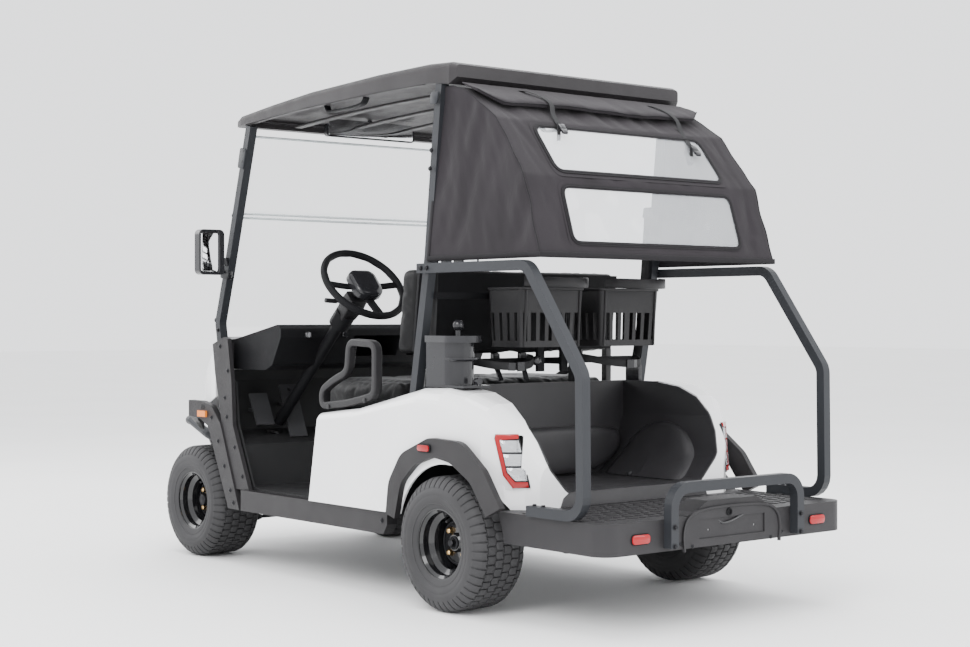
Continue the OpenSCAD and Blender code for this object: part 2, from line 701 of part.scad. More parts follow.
// A tile on the cover's rear between two heights, d deep
module on_rear(a, b, zr, half, depth, grow) {
  at = function (z) a + (b - a) * (z - a[1]) / (b[1] - a[1]);
  g = unit(b - a);
  n = [-g[1], g[0]];
  p = at(zr[0] - grow);
  q = at(zr[1] + grow);
  d = depth(g[1]);
  side_plate([p + n * d[0], q + n * d[0], q + n * d[1], p + n * d[1]], -half - grow, half + grow);
}
module rear_window_tiles(depth, grow) {
  x1 = -524 - cover_l;
  a = [x1, 1138];
  b = [x1 + 82, cover_z(1395)];
  c = [x1 + 230, cover_z(1586)];
  on_rear(a, b, window_low[0], window_low[1], depth, grow);
  on_rear(b, c, window_high[0], window_high[1], depth, grow);
}
module club_cover() {
  color("#38333b") on_body() difference() {
    cover_hull(0);
    cover_hull(cloth_t);
    translate([40, 0, 0]) cover_hull(cloth_t);
    rear_window_tiles(function (f) [-60, 40], 0);
    both() side_plate(stroke(rear_post_path(), post_w + 2 * seam), post_y - post_w / 2 - seam, post_y + post_w / 2 + seam);
  }
}
module cover_windows() {
  color([0.8, 0.85, 0.88, 0.35]) on_body() rear_window_tiles(function (f) [-cloth_t * f + 0.2, -cloth_t * f + 2 - seam], 8);
}

// ---- Steering and pedals ----
module steering_column() {
  color("#1d1d1f") on_body() {
    p = on_column(46);
    translate([p[0], p[1], p[2]]) rotate([0, 90 + column_slope, 0]) difference() {
      cylinder(r = 22, h = 740);
      translate([0, 0, -1]) cylinder(r = 12 + running_gap, h = 120);
    }
    q = on_column(150);
    translate([q[0], q[1], q[2]]) rotate([0, 90 + column_slope, 0]) difference() {
      hull() {
        cylinder(r = 40, h = 70);
        translate([0, 30, 10]) cylinder(r = 14, h = 50);
      }
      translate([0, 0, -1]) cylinder(r = 22, h = 90);
    }
  }
}
module steering_wheel() {
  r = wheel_d / 2 - 14;
  color("#1b1b1c") on_body() translate([wheel_c[0], wheel_y, wheel_c[2]]) rotate([0, 90 + column_slope, 0]) {
    rotate_extrude($fn = 72) translate([r, 0]) circle(14, $fn = 24);
    translate([0, 0, -8]) cylinder(r = 62, h = 34);
    for (a = [90, 200, 340]) rotate([0, 0, a + 90]) translate([50, -19, -5]) cube([r - 55, 38, 10]);
    translate([0, 0, 26]) cylinder(r = 12, h = 130);
  }
}
// Top of the toe board at x, and the face of the bulkhead at height z
function toe_z(x) = 455 + (x - 662) * 45 / 178 + floor_t / 2 + 0.2;
function bulkhead_x(z) = 839 + (z - 495) / 5 - 5.2;
module pedals() {
  go = [[712, toe_z(712) + 3], [800, 680]];
  stop = [[730, 528], [790, 648]];
  color("#77787c") on_body() translate([nose, 0, 0]) {
    difference() {
      side_plate(strip(go, -4, 4), 188, 268);
      translate([792, 228, 662]) rotate([0, 66, 0]) cylinder(r = 7, h = 60, center = true);
    }
    box([766, bulkhead_x(594)], [222, 234], [594, 606]);
    side_plate(strip(stop, -5, 5), 332, 412);
    box([756, bulkhead_x(574)], [366, 378], [574, 586]);
  }
}

// ---- Seat ----
module pad(x, y, z, r) {
  hull() {
    for (i = [0, 1], j = [0, 1], k = [0, 1]) {
      translate([x[i] + (i ? -r : r), y[j] + (j ? -r : r), z[k] + (k ? -r : r)]) sphere(r, $fn = 20);
    }
  }
}
module seat_cushion() {
  color("#202023") on_body()
    union() {
      pad([cushion_x0, hinge[0] - 2], [-seat_w / 2, seat_w / 2], [seat_z + seam, seat_z + cushion_t], 20);
      both() difference() {
        hull() {
          tube_y(hinge, 2 * hinge_pin_r, 300, 340);
          box([100, 112], [300, 340], [626, 636]);
        }
        tube_y(hinge, hinge_pin_r + running_gap, 299, 341);
      }
    }
}
module lean_back() {
  on_body() multmatrix([[1, 0, -0.12, back_x + 0.12 * back_z], [0, 1, 0, 0], [0, 0, 1, 0], [0, 0, 0, 1]]) children();
}
module seat_back() {
  color("#202023") lean_back() pad([-86, 0], [-seat_w / 2 + 12, seat_w / 2 - 12], [back_z, back_z + back_h], 20);
}
module seat_back_shell() {
  color("#1d1d1f") {
    lean_back() box([-98, -86.3], [-seat_w / 2 + 16, seat_w / 2 - 16], [back_z + 6, back_z + back_h - 8]);
    on_body() both() box([-382, -354], [250, 290], [body_top(-382) + seam, 900]);
  }
}
// A closed outline moved outwards by d, for an outline that runs clockwise
function loop_beside(p, d) = [
  for (i = [0:len(p) - 1])
    let (a = unit(p[i] - p[(i + len(p) - 1) % len(p)]), b = unit(p[(i + 1) % len(p)] - p[i]))
    let (m = unit(a + b))
    p[i] + [-m[1], m[0]] / (m * a) * d
];
module hip_restraints() {
  foot = [for (x = [60, -100, -262]) [x, body_top(x) + seam]];
  hoop = rounded_loop(concat(foot, [[-262, 872], [-90, 878], [-76, 766], [4, 740], [84, 700]]), 40, 6);
  color("#29292b") on_body() both() difference() {
    side_plate(hoop, side - 58, side - 26);
    side_plate(loop_beside(hoop, -25), side - 70, side - 10);
  }
}

// ---- Rack, baskets and washer ----
rack_x = -535;
module bag_rack() {
  color("#2f333a") on_body() {
    inner = post_y - post_w / 2;
    box([rack_x, rack_x + 22], [-inner, inner], [1012, 1034]);
    box([-467, -445], [-inner, inner], [786, 808]);
    both() box([-573, rack_x], [165, 195], [860, 1034]);
    both() box([rack_x - 14, rack_x], [40, 70], [762, 1034]);
    both() box([rack_x, -467], [40, 70], [786, 808]);
  }
}
module basket() {
  x = [-753, -573];
  y = [38, 322];
  z = [850, 1050];
  difference() {
    box(x, y, z);
    box(x + [5, -5], y + [5, -5], [z[0] + 5, z[1] + 5]);
    for (i = [0:5]) box([x[0] - 1, x[0] + 6], [y[0] + 34 + i * 38, y[0] + 54 + i * 38], [z[0] + 40, z[1] - 50]);
  }
}
module sweater_baskets() { color("#202022") on_body() both() basket(); }
washer = [-548, side - 106];
module ball_washer() {
  z0 = 720.3;
  tank_r = 56;
  tank_l = 150;
  lid_r = 68;
  front = washer[0] + 32;
  color("#1e1e20") on_body() {
    box([front - tank_l - 40, front + 8], [washer[1] - tank_r - 8, washer[1] + tank_r - 4], [z0, z0 + 8]);
    hull() {
      tube_z([front - tank_l + tank_r, washer[1]], tank_r, z0 + 8, 868);
      box([front - 2, front], [washer[1] - tank_r, washer[1] + tank_r], [z0 + 8, 868]);
    }
    hull() {
      tube_z([front - tank_l + tank_r - 20, washer[1]], lid_r, 868, 890);
      box([front + 6, front + 8], [washer[1] - lid_r, washer[1] + tank_r], [868, 890]);
    }
    tube_z([front - 100, washer[1]], 9, 890, 912);
    translate([front - 100, washer[1], 924]) sphere(19);
  }
}
module tube_z(c, r, z0, z1) {
  translate([c[0], c[1], z0]) cylinder(r = r, h = z1 - z0);
}

// ---- Lamps and mirrors ----
module tail_lamp_shape(grow) {
  a = 50;
  translate([-905, side - 88, 498]) rotate([0, -4, a]) translate([-34 - grow, -26, -80 - grow])
    cube([68 + 2 * grow, 60, 160 + 2 * grow]);
}
module tail_lamps() {
  color("#c0141c") on_body() {
    both() intersection() {
      tail_lamp_shape(0);
      skin([for (s = BODY) [s[0], s[1], sill_z, s[2], s[3]]], -2);
    }
    both() translate([deck_x1, 404, 290]) rotate([0, -90, 0]) linear_extrude(8) square([34, 92], center = true);
    both() translate([rear_x + 80, side + 22, tyre_r - lift + 305]) rotate([-90, 0, 0])
      linear_extrude(8) square([64, 24], center = true);
  }
}
module marker_lamps() {
  color("#f08a24") move_nose() both() box([845, 905], [trim_y + trim_t, trim_y + trim_t + 9], [560, 584]);
}
module side_mirrors() {
  color("#1f1f21") on_body() translate([nose, 0, 0]) both() {
    hull() {
      for (z = [1133, 1267], y = [side + 12, side + 83]) {
        translate([700, y, z]) rotate([0, 90, 0]) cylinder(r = 20, h = 34);
      }
    }
    hull() {
      box([722, 744], [front_post_y + post_w / 2, front_post_y + post_w / 2 + 8], [1150, 1180]);
      box([716, 732], [side + 2, side + 8], [1160, 1180]);
    }
  }
}
module cabin_mirror() {
  color("#1f1f21") on_body() translate([nose, 0, rise]) {
    hull() {
      for (y = [-150, 245], z = [1664, 1688]) translate([470, y, z]) rotate([0, 90, 0]) cylinder(r = 14, h = 18);
    }
    box([474, 484], [40, 55], [1702, 1726]);
  }
}

chassis_frame();
battery_pack();
rear_axle();
front_axle();
leaf_springs();
knuckle_left();
knuckle_right();
tie_rod();
tyre_front_left();
tyre_front_right();
tyre_rear_left();
tyre_rear_right();
rim_front_left();
rim_front_right();
rim_rear_left();
rim_rear_right();
floor_pan();
front_cowl();
front_fascia();
front_flares();
door_trims();
dashboard();
rocker_panels();
seat_base();
rear_body();
rear_flares();
bag_well();
rear_deck();
deck_guard_bar();
front_bumper_bar();
canopy_posts();
cover_side_tubes();
roof();
windshield();
club_cover();
cover_windows();
steering_column();
steering_wheel();
pedals();
seat_cushion();
seat_back();
seat_back_shell();
hip_restraints();
bag_rack();
sweater_baskets();
ball_washer();
headlamps();
marker_lamps();
tail_lamps();
side_mirrors();
cabin_mirror();
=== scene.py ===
"""Looks of a golf cart with a bag well and a fabric club cover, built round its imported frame."""

import json
import logging
import math
from dataclasses import dataclass
from enum import Enum
from typing import Sequence

import bmesh
import bpy
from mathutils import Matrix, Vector, noise

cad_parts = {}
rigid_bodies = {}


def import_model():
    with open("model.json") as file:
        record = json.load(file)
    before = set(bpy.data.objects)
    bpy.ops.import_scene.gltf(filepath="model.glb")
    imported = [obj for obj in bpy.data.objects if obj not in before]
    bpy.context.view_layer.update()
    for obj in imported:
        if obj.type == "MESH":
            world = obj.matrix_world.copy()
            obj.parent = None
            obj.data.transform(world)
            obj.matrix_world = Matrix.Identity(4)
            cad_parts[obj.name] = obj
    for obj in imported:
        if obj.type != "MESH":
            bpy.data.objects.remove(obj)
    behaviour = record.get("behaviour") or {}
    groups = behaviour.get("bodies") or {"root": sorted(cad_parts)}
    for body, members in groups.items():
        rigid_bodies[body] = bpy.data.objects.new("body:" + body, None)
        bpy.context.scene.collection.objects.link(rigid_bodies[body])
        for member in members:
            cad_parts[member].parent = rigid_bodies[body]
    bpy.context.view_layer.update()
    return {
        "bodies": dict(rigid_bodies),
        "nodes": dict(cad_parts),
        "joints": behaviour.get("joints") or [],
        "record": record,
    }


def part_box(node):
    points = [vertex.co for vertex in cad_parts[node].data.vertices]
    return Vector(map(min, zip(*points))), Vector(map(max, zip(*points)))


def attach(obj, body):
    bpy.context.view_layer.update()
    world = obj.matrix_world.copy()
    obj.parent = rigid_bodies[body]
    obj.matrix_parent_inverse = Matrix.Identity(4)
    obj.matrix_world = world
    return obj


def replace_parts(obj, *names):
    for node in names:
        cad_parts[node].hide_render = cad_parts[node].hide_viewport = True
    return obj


LOG = logging.getLogger("golf_cart")
Point = tuple[float, float, float]
Flat = tuple[float, float]
Ring = list[Vector]


# ---------------------------------------------------------------------------
# Finishes
# ---------------------------------------------------------------------------
class Nodes:
    """A small writer of shader nodes for one material."""

    def __init__(self, name: str) -> None:
        """Start a material with a Principled shader.

        Args:
            name: the material's name.
        """
        self.material = bpy.data.materials.new(name)
        self.material.use_nodes = True
        self.tree = self.material.node_tree
        self.shader = self.tree.nodes["Principled BSDF"]
        self.place = self.add("ShaderNodeTexCoord").outputs["Object"]

    def add(self, kind: str, **settings: object) -> bpy.types.Node:
        """Add a node.

        Args:
            kind: the node's type name.
            **settings: properties of the node, or values of its inputs by name.

        Returns:
            The new node.
        """
        node = self.tree.nodes.new(kind)
        for key, value in settings.items():
            if hasattr(node, key):
                setattr(node, key, value)
            else:
                node.inputs[key.replace("_", " ")].default_value = value
        return node

    def link(self, source: bpy.types.NodeSocket, node: bpy.types.Node, socket: str | int) -> None:
        """Join an output to an input of a node."""
        self.tree.links.new(source, node.inputs[socket])

    def noise(self, scale: float, detail: float = 4.0) -> bpy.types.NodeSocket:
        """Make a noise over the object's own space, with a number of features for each metre and of octaves."""
        texture = self.add("ShaderNodeTexNoise", Scale=scale, Detail=detail)
        self.link(self.place, texture, "Vector")
        return texture.outputs["Fac"]

    def ramp(self, source: bpy.types.NodeSocket,
             stops: Sequence[tuple[float, tuple[float, ...]]]) -> bpy.types.NodeSocket:
        """Turn a value into a colour.

        Args:
            source: the value.
            stops: places from 0 to 1 with a grey level or a colour at each.

        Returns:
            The colour output.
        """
        node = self.add("ShaderNodeValToRGB")
        band = node.color_ramp
        while len(band.elements) < len(stops):
            band.elements.new(0.5)
        for element, (place, colour) in zip(band.elements, stops):
            element.position = place
            element.color = (*(colour * 3 if len(colour) == 1 else colour), 1.0)
        self.link(source, node, "Fac")
        return node.outputs["Color"]

    def tint(self, source: bpy.types.NodeSocket, colour: Point, low: float, high: float, stop: float) -> None:
        """Colour the shader between a darker and a lighter shade.

        Args:
            source: the value that mixes them.
            colour: the colour that both come from.
            low: the darker shade's factor.
            high: the lighter shade's factor.
            stop: where the lighter shade is reached.
        """
        shades = [tuple(min(1.0, c * factor) for c in colour) for factor in (low, high)]
        self.link(self.ramp(source, [(0.3, shades[0]), (stop, shades[1])]), self.shader, "Base Color")

    def compute(self, operation: str, *values: bpy.types.NodeSocket | float) -> bpy.types.NodeSocket:
        """Work out one value from others.

        Args:
            operation: the arithmetic's name.
            *values: outputs of other nodes, or numbers.

        Returns:
            The result.
        """
        node = self.add("ShaderNodeMath", operation=operation)
        for index, value in enumerate(values):
            if isinstance(value, bpy.types.NodeSocket):
                self.link(value, node, index)
            else:
                node.inputs[index].default_value = value
        return node.outputs[0]

    def split(self, source: bpy.types.NodeSocket) -> bpy.types.NodeOutputs:
        """Take a vector's X, Y and Z apart."""
        node = self.add("ShaderNodeSeparateXYZ")
        self.link(source, node, "Vector")
        return node.outputs

    def bump(self, source: bpy.types.NodeSocket, depth: float, strength: float = 1.0) -> None:
        """Add relief to the shader, over what it has already.

        Args:
            source: the height.
            depth: the full height in metres.
            strength: how much of it shows.
        """
        node = self.add("ShaderNodeBump", Distance=depth, Strength=strength)
        self.link(source, node, "Height")
        before = self.shader.inputs["Normal"].links
        if before:
            self.link(before[0].from_socket, node, "Normal")
        self.link(node.outputs[0], self.shader, "Normal")

    def set(self, **values: object) -> None:
        """Set the shader's own sockets, named with underscores for spaces."""
        for key, value in values.items():
            self.shader.inputs[key.replace("_", " ")].default_value = value


@dataclass(frozen=True)
class Look:
    """A named surface, written once and then shared by its pieces."""

    name: str
    colour: Point

    def build(self) -> bpy.types.Material:
        """Make the material, or return the one made before."""
        if self.name not in bpy.data.materials:
            self.write(Nodes(self.name))
        return bpy.data.materials[self.name]

    def write(self, nodes: Nodes) -> None:
        """Write the surface's shader."""
        raise NotImplementedError


@dataclass(frozen=True)
class Finish(Look):
    """A moulded, painted or rubber surface with its own grain and mottling."""

    roughness: float
    grain: float = 900.0
    depth: float = 0.0002
    mottle: float = 0.12
    coat: float = 0.0
    metallic: float = 0.0
    specular: float = 0.22
    cells: bool = False

    def write(self, nodes: Nodes) -> None:
        """Write the mottled colour, the uneven roughness and the grain."""
        nodes.tint(nodes.noise(3.2, 5.0), self.colour, 1 - self.mottle, 1 + self.mottle, 0.7)
        rough = nodes.ramp(nodes.noise(14.0, 6.0), [
            (0.3, (max(0.02, self.roughness - 0.06),)), (0.75, (min(1.0, self.roughness + 0.08),))])
        nodes.link(rough, nodes.shader, "Roughness")
        nodes.set(Metallic=self.metallic, Coat_Weight=self.coat, Coat_Roughness=0.05, Specular_IOR_Level=self.specular)
        if self.cells:
            cell = nodes.add("ShaderNodeTexVoronoi", Scale=self.grain, feature="F1")
            nodes.link(nodes.place, cell, "Vector")
            nodes.bump(cell.outputs["Distance"], self.depth)
        else:
            nodes.bump(nodes.noise(self.grain, 3.0), self.depth)


@dataclass(frozen=True)
class TreadPlate(Finish):
    """A moulded plastic whose upward faces carry a pattern of raised bars."""

    pitch: float = 0.036
    bar: Flat = (0.36, 0.12)

    def write(self, nodes: Nodes) -> None:
        """Write the grained plastic, then the bars on level faces."""
        super().write(nodes)
        heights = []
        for sign in (1.0, -1.0):
            turn = nodes.add("ShaderNodeMapping")
            turn.inputs["Rotation"].default_value = (0.0, 0.0, sign * math.radians(45))
            turn.inputs["Scale"].default_value = (1 / self.pitch,) * 3
            turn.inputs["Location"].default_value = (0.5 * (sign > 0), 0.0, 0.0)
            nodes.link(nodes.place, turn, "Vector")
            parts = nodes.split(turn.outputs[0])
            heights.append(nodes.compute("MULTIPLY", *(
                nodes.compute("LESS_THAN", nodes.compute("PINGPONG", parts[axis], 0.5), width / 2)
                for axis, width in zip("XY", self.bar))))
        normal = nodes.split(nodes.add("ShaderNodeNewGeometry").outputs["True Normal"])
        level = nodes.compute("GREATER_THAN", normal["Z"], 0.8)
        nodes.bump(nodes.compute("MULTIPLY", nodes.compute("MAXIMUM", *heights), level), 0.0025)


@dataclass(frozen=True)
class Cloth(Look):
    """A woven cloth with a fine over-and-under weave, slight sheen and soft folds."""

    threads: float = 900.0
    roughness: float = 0.8

    def write(self, nodes: Nodes) -> None:
        """Write the weave over an uneven dye."""
        waves = [nodes.add("ShaderNodeTexWave", Scale=self.threads / 6.3, bands_direction=way, Distortion=0.6)
                 for way in "YZ"]
        for wave in waves:
            nodes.link(nodes.place, wave, "Vector")
        nodes.tint(nodes.noise(5.0, 6.0), self.colour, 0.82, 1.2, 0.72)
        nodes.set(Roughness=self.roughness, Sheen_Weight=0.06, Sheen_Roughness=0.4, Specular_IOR_Level=0.2)
        nodes.bump(nodes.compute("MAXIMUM", *(wave.outputs["Fac"] for wave in waves)), 0.0004, 0.5)
        nodes.bump(nodes.noise(26.0, 5.0), 0.002, 0.25)


@dataclass(frozen=True)
class Clear(Look):
    """A clear sheet or lens, tinted, with a light haze."""

    roughness: float = 0.02
    opacity: float = 0.12
    ripple: float = 0.0

    def write(self, nodes: Nodes) -> None:
        """Write the tinted clear plastic."""
        nodes.tint(nodes.noise(4.0), self.colour, 0.94, 1.0, 0.7)
        nodes.set(Roughness=self.roughness, IOR=1.45, Alpha=self.opacity, Specular_IOR_Level=0.8, Coat_Weight=0.6,
                  Coat_Roughness=0.03)
        if self.ripple:
            nodes.bump(nodes.noise(9.0, 2.0), self.ripple)


WHITE = Finish("gloss_white_panel", (0.86, 0.86, 0.87), 0.22, 60.0, 0.00006, 0.015, coat=0.7, specular=0.5)
TRIM = Finish("dark_grey_trim", (0.019, 0.0178, 0.019), 0.46, 1400.0, 0.00035, 0.12, cells=True)
ROOF = Finish("roof_plastic", (0.021, 0.019, 0.0205), 0.42, 1100.0, 0.0003, 0.12, cells=True)
INNER = Finish("black_moulding", (0.0075, 0.0075, 0.0085), 0.5, 1300.0, 0.0004, 0.2, cells=True, specular=0.1)
WELL = Finish("well_liner", (0.021, 0.02, 0.022), 0.34, 1200.0, 0.0003, 0.15, cells=True, specular=0.4)
POST = Finish("powder_coat", (0.022, 0.0235, 0.027), 0.42, 2200.0, 0.0002, 0.1, metallic=0.1)
CHASSIS = Finish("chassis_paint", (0.02, 0.021, 0.023), 0.5, 500.0, 0.0002, 0.25)
RIM = Finish("rim_gloss_black", (0.008, 0.008, 0.009), 0.16, 120.0, 0.00004, 0.1, coat=0.6)
RUBBER = Finish("tyre_rubber", (0.034, 0.0335, 0.035), 0.62, 700.0, 0.0004, 0.25)
VINYL = Finish("grained_vinyl", (0.006, 0.006, 0.0065), 0.42, 480.0, 0.0005, 0.15, cells=True, specular=0.14)
GLOSS_GREY = Finish("grey_black_moulding", (0.014, 0.0135, 0.0145), 0.36, 1200.0, 0.00025, 0.15, cells=True)
GLOSS = Finish("black_gloss_plastic", (0.014, 0.014, 0.016), 0.22, 200.0, 0.00008, 0.1, coat=0.4)
BRASS = Finish("brass_plate", (0.62, 0.42, 0.2), 0.28, 300.0, 0.0001, 0.2, metallic=1.0)
ZINC = Finish("zinc_plate", (0.42, 0.42, 0.43), 0.32, 300.0, 0.0001, 0.2, metallic=1.0)
BOLT = Finish("blackened_steel", (0.02, 0.02, 0.022), 0.34, 300.0, 0.0001, 0.2, metallic=0.8)
PEDAL = Finish("pedal_rubber", (0.04, 0.04, 0.043), 0.5, 900.0, 0.0003, 0.12, cells=True)
WEBBING = Finish("strap_webbing", (0.018, 0.018, 0.019), 0.75, 1500.0, 0.0006, 0.2)
SILVER = Finish("mirror_silver", (0.86, 0.87, 0.88), 0.03, 50.0, 0.00001, 0.01, metallic=1.0)
REFLECTOR = Finish("lamp_reflector", (0.4, 0.41, 0.43), 0.1, 150.0, 0.0003, 0.06, metallic=0.9)
DECK = TreadPlate("deck_plastic", (0.022, 0.021, 0.0225), 0.5, 1300.0, 0.0003, 0.12, cells=True)
FLOOR_MAT = TreadPlate("floor_mat", (0.02, 0.02, 0.021), 0.6, 1200.0, 0.0004, 0.15, cells=True, pitch=0.03)
COVER = Cloth("woven_cover", (0.016, 0.0135, 0.016))
BINDING = Cloth("cover_binding", (0.009, 0.008, 0.0095), 1400.0)
ACRYLIC = Clear("windshield_acrylic", (0.9, 0.95, 0.96), 0.01, 0.07)
PANE = Clear("cover_vinyl", (0.7, 0.72, 0.75), 0.06, 0.3, 0.004)
LAMP_GLASS = Clear("lamp_cover", (0.95, 0.96, 0.98), 0.02, 0.12)
RED = Finish("red_prism_lens", (0.3, 0.003, 0.006), 0.14, 160.0, 0.0002, 0.1, coat=0.4)
AMBER = Finish("amber_prism_lens", (0.72, 0.2, 0.02), 0.16, 160.0, 0.0002, 0.1, coat=0.4)


# ---------------------------------------------------------------------------
# Mesh writing: places and sizes in millimetres, meshes in metres
# ---------------------------------------------------------------------------
def v(x: float, y: float, z: float) -> Vector:
    """A point or direction."""
    return Vector((x, y, z))


def square_to(axis: Vector) -> tuple[Vector, Vector]:
    """Two unit directions square to an axis.

    Args:
        axis: any direction.

    Returns:
        Two directions that make a right-handed set with the axis.
    """
    along = axis.normalized()
    first = along.cross(v(0, 0, 1) if abs(along.z) < 0.9 else v(1, 0, 0)).normalized()
    return first, along.cross(first)


def rounded(points: Sequence[Flat], radius: float, steps: int = 4) -> list[Flat]:
    """Round the corners of a flat loop.

    Args:
        points: the corners.
        radius: the corner radius, cut down where an edge is short.
        steps: points added at each corner.

    Returns:
        The rounded points.
    """
    out: list[Flat] = []
    count = len(points)
    for i, corner in enumerate(points):
        here = Vector(corner)
        back, ahead = Vector(points[i - 1]) - here, Vector(points[(i + 1) % count]) - here
        reach = min(radius, back.length * 0.48, ahead.length * 0.48)
        start, end = here + back.normalized() * reach, here + ahead.normalized() * reach
        for k in range(steps + 1):
            t = k / steps
            spot = start * (1 - t) ** 2 + here * 2 * t * (1 - t) + end * t ** 2
            out.append((spot.x, spot.y))
    return out


def oblong(wide: float, tall: float, radius: float, steps: int = 4) -> list[Flat]:
    """A rounded rectangle about the origin, from its half width and half height."""
    return rounded([(-wide, -tall), (wide, -tall), (wide, tall), (-wide, tall)], radius, steps)


def smooth_line(points: Sequence[Vector], steps: int = 6) -> Ring:
    """Draw a smooth curve through points.

    Args:
        points: the points passed.
        steps: pieces between two of them.

    Returns:
        The curve's points.
    """
    out: Ring = []
    padded = [points[0] * 2 - points[1], *points, points[-1] * 2 - points[-2]]
    for a, b, c, d in zip(padded, padded[1:], padded[2:], padded[3:]):
        for k in range(steps):
            t = k / steps
            out.append(0.5 * (2 * b + (c - a) * t + (2 * a - 5 * b + 4 * c - d) * t ** 2
                              + (3 * b - a - 3 * c + d) * t ** 3))
    out.append(points[-1].copy())
    return out


class Piece:
    """One visual piece, written part by part and then made into an object."""

    def __init__(self, name: str, finish: Look, slot: str, body: str = "cart_body") -> None:
        """Start an empty piece.

        Args:
            name: the object's name.
            finish: its finish.
            slot: the record's material slot that it stands for.
            body: the CAD body that it moves with.
        """
        self.name, self.finish, self.slot, self.body = name, finish, slot, body
        self.verts: list[Vector] = []
        self.faces: list[tuple[int, ...]] = []

    def rings(self, rings: Sequence[Sequence[Vector]], loop: bool = True, cap: bool = True,
              close: bool = False) -> None:
        """Skin a row of rings with the same number of points.

        Args:
            rings: the rings in order.
            loop: whether each ring is closed on itself.
            cap: whether the first and last rings are filled.
            close: whether the last ring joins the first.
        """
        base, size = len(self.verts), len(rings[0])
        for ring in rings:
            self.verts.extend(Vector(p) for p in ring)
        rows = len(rings) if close else len(rings) - 1
        for i in range(rows):
            a, b = base + i * size, base + ((i + 1) % len(rings)) * size
            for j in range(size if loop else size - 1):
                k = (j + 1) % size
                self.faces.append((a + j, a + k, b + k, b + j))
        if cap and loop and not close:
            self.faces.append(tuple(reversed(range(base, base + size))))
            last = base + (len(rings) - 1) * size
            self.faces.append(tuple(range(last, last + size)))

    def tube(self, path: Sequence[Vector], radius: float, sides: int = 14, close: bool = False) -> None:
        """Sweep a round section along a line, its ends capped flat unless it is a loop."""
        self.sweep(path, [(radius * math.cos(math.tau * k / sides), radius * math.sin(math.tau * k / sides))
                          for k in range(sides)], close=close)

    def sweep(self, path: Sequence[Vector], section: Sequence[Flat], side: Vector | None = None,
              close: bool = False) -> None:
        """Sweep a flat loop along a line.

        Args:
            path: the line's points.
            section: the loop, its first direction along side.
            side: the direction that the section's first axis keeps, or None to carry it along.
            close: whether the line is a loop.
        """
        count = len(path)
        first = side
        rings = []
        for i in range(count):
            if close:
                along = path[(i + 1) % count] - path[i - 1]
            else:
                along = path[min(i + 1, count - 1)] - path[max(i - 1, 0)]
            along.normalize()
            if first is None:
                first = square_to(along)[0]
            across = (first - along * first.dot(along)).normalized()
            if side is None:
                first = across
            up = along.cross(across)
            rings.append([path[i] + across * a + up * b for a, b in section])
        self.rings(rings, close=close)

    def band(self, path: Sequence[Vector], side: Vector, width: float, thick: float, soft: float = 0.3) -> None:
        """Sweep a flat strip with eased edges along a line.

        Args:
            path: the line's points.
            side: the direction across the strip.
            width: its width.
            thick: its thickness.
            soft: the edge's easing as a share of the thickness.
        """
        w, t, e = width / 2, thick / 2, thick * soft
        section = [(-w + e, -t), (w - e, -t), (w, -t + e), (w, t - e), (w - e, t), (-w + e, t), (-w, t - e),
                   (-w, -t + e)]
        self.sweep(path, section, side)

    def turned(self, profile: Sequence[Flat], centre: Vector, axis: Vector, sides: int = 32,
               close: bool = False) -> None:
        """Turn a profile round an axis.

        Args:
            profile: points (radius, distance along the axis).
            centre: where the distance is 0.
            axis: the axis.
            sides: steps round it.
            close: whether the profile is a loop.
        """
        across, up = square_to(axis)
        along = axis.normalized()
        rings = []
        for radius, reach in profile:
            r = max(radius, 0.01)
            rings.append([centre + along * reach + (across * math.cos(math.tau * k / sides)
                                                    + up * math.sin(math.tau * k / sides)) * r for k in range(sides)])
        self.rings(rings, close=close)

    def slab(self, outline: Sequence[Vector], lift: Vector, ease: float = 0.0) -> None:
        """Raise a flat outline into a plate with an eased top edge.

        Args:
            outline: the plate's edge at its foot.
            lift: its height and direction.
            ease: how far the top edge is drawn in.
        """
        middle = sum(outline, Vector()) / len(outline)
        height = lift.length
        rings = [list(outline)]
        if ease > 0:
            rings.append([p + lift * (1 - min(0.9, ease / height)) for p in outline])
            rings.append([p + lift * (1 - 0.3 * min(0.9, ease / height)) + (middle - p).normalized() * ease * 0.3
                          for p in outline])
            rings.append([p + lift + (middle - p).normalized() * ease for p in outline])
        else:
            rings.append([p + lift for p in outline])
        self.rings(rings)

    def bolt(self, at: Vector, axis: Vector, radius: float = 6.0, hexed: bool = True) -> None:
        """Set a bolt head with its washer, or a round push fastener.

        Args:
            at: the seat of the head.
            axis: the direction that it stands out.
            radius: half the head's width.
            hexed: whether the head is a hexagon.
        """
        along = axis.normalized()
        self.turned([(0.01, -0.6), (radius * 1.45, -0.6), (radius * 1.5, 0.4), (radius * 1.35, 0.9),
                     (radius * 0.9, 1.0)],
                    at, along, 20)
        if hexed:
            self.turned([(radius * 1.1, 0.8), (radius * 1.1, radius * 0.75), (radius * 0.95, radius * 0.9),
                         (0.01, radius * 0.92)], at, along, 6)
        else:
            self.turned([(radius * 1.05, 0.8), (radius * 1.0, radius * 0.35), (radius * 0.75, radius * 0.55),
                         (radius * 0.35, radius * 0.6), (radius * 0.3, radius * 0.35), (0.01, radius * 0.35)], at,
                        along, 20)

    def build(self, angle: float = 35.0, subdivide: int = 0) -> bpy.types.Object:
        """Make the object, riding on its body.

        Args:
            angle: edges sharper than this, in degrees, stay sharp.
            subdivide: levels of subdivision that are applied.

        Returns:
            The finished object.
        """
        obj = new_object(self.name, self.verts, self.faces)
        clean(obj, angle)
        if subdivide:
            refine(obj, subdivide)
        return dress(obj, self.finish, self.slot, self.body)


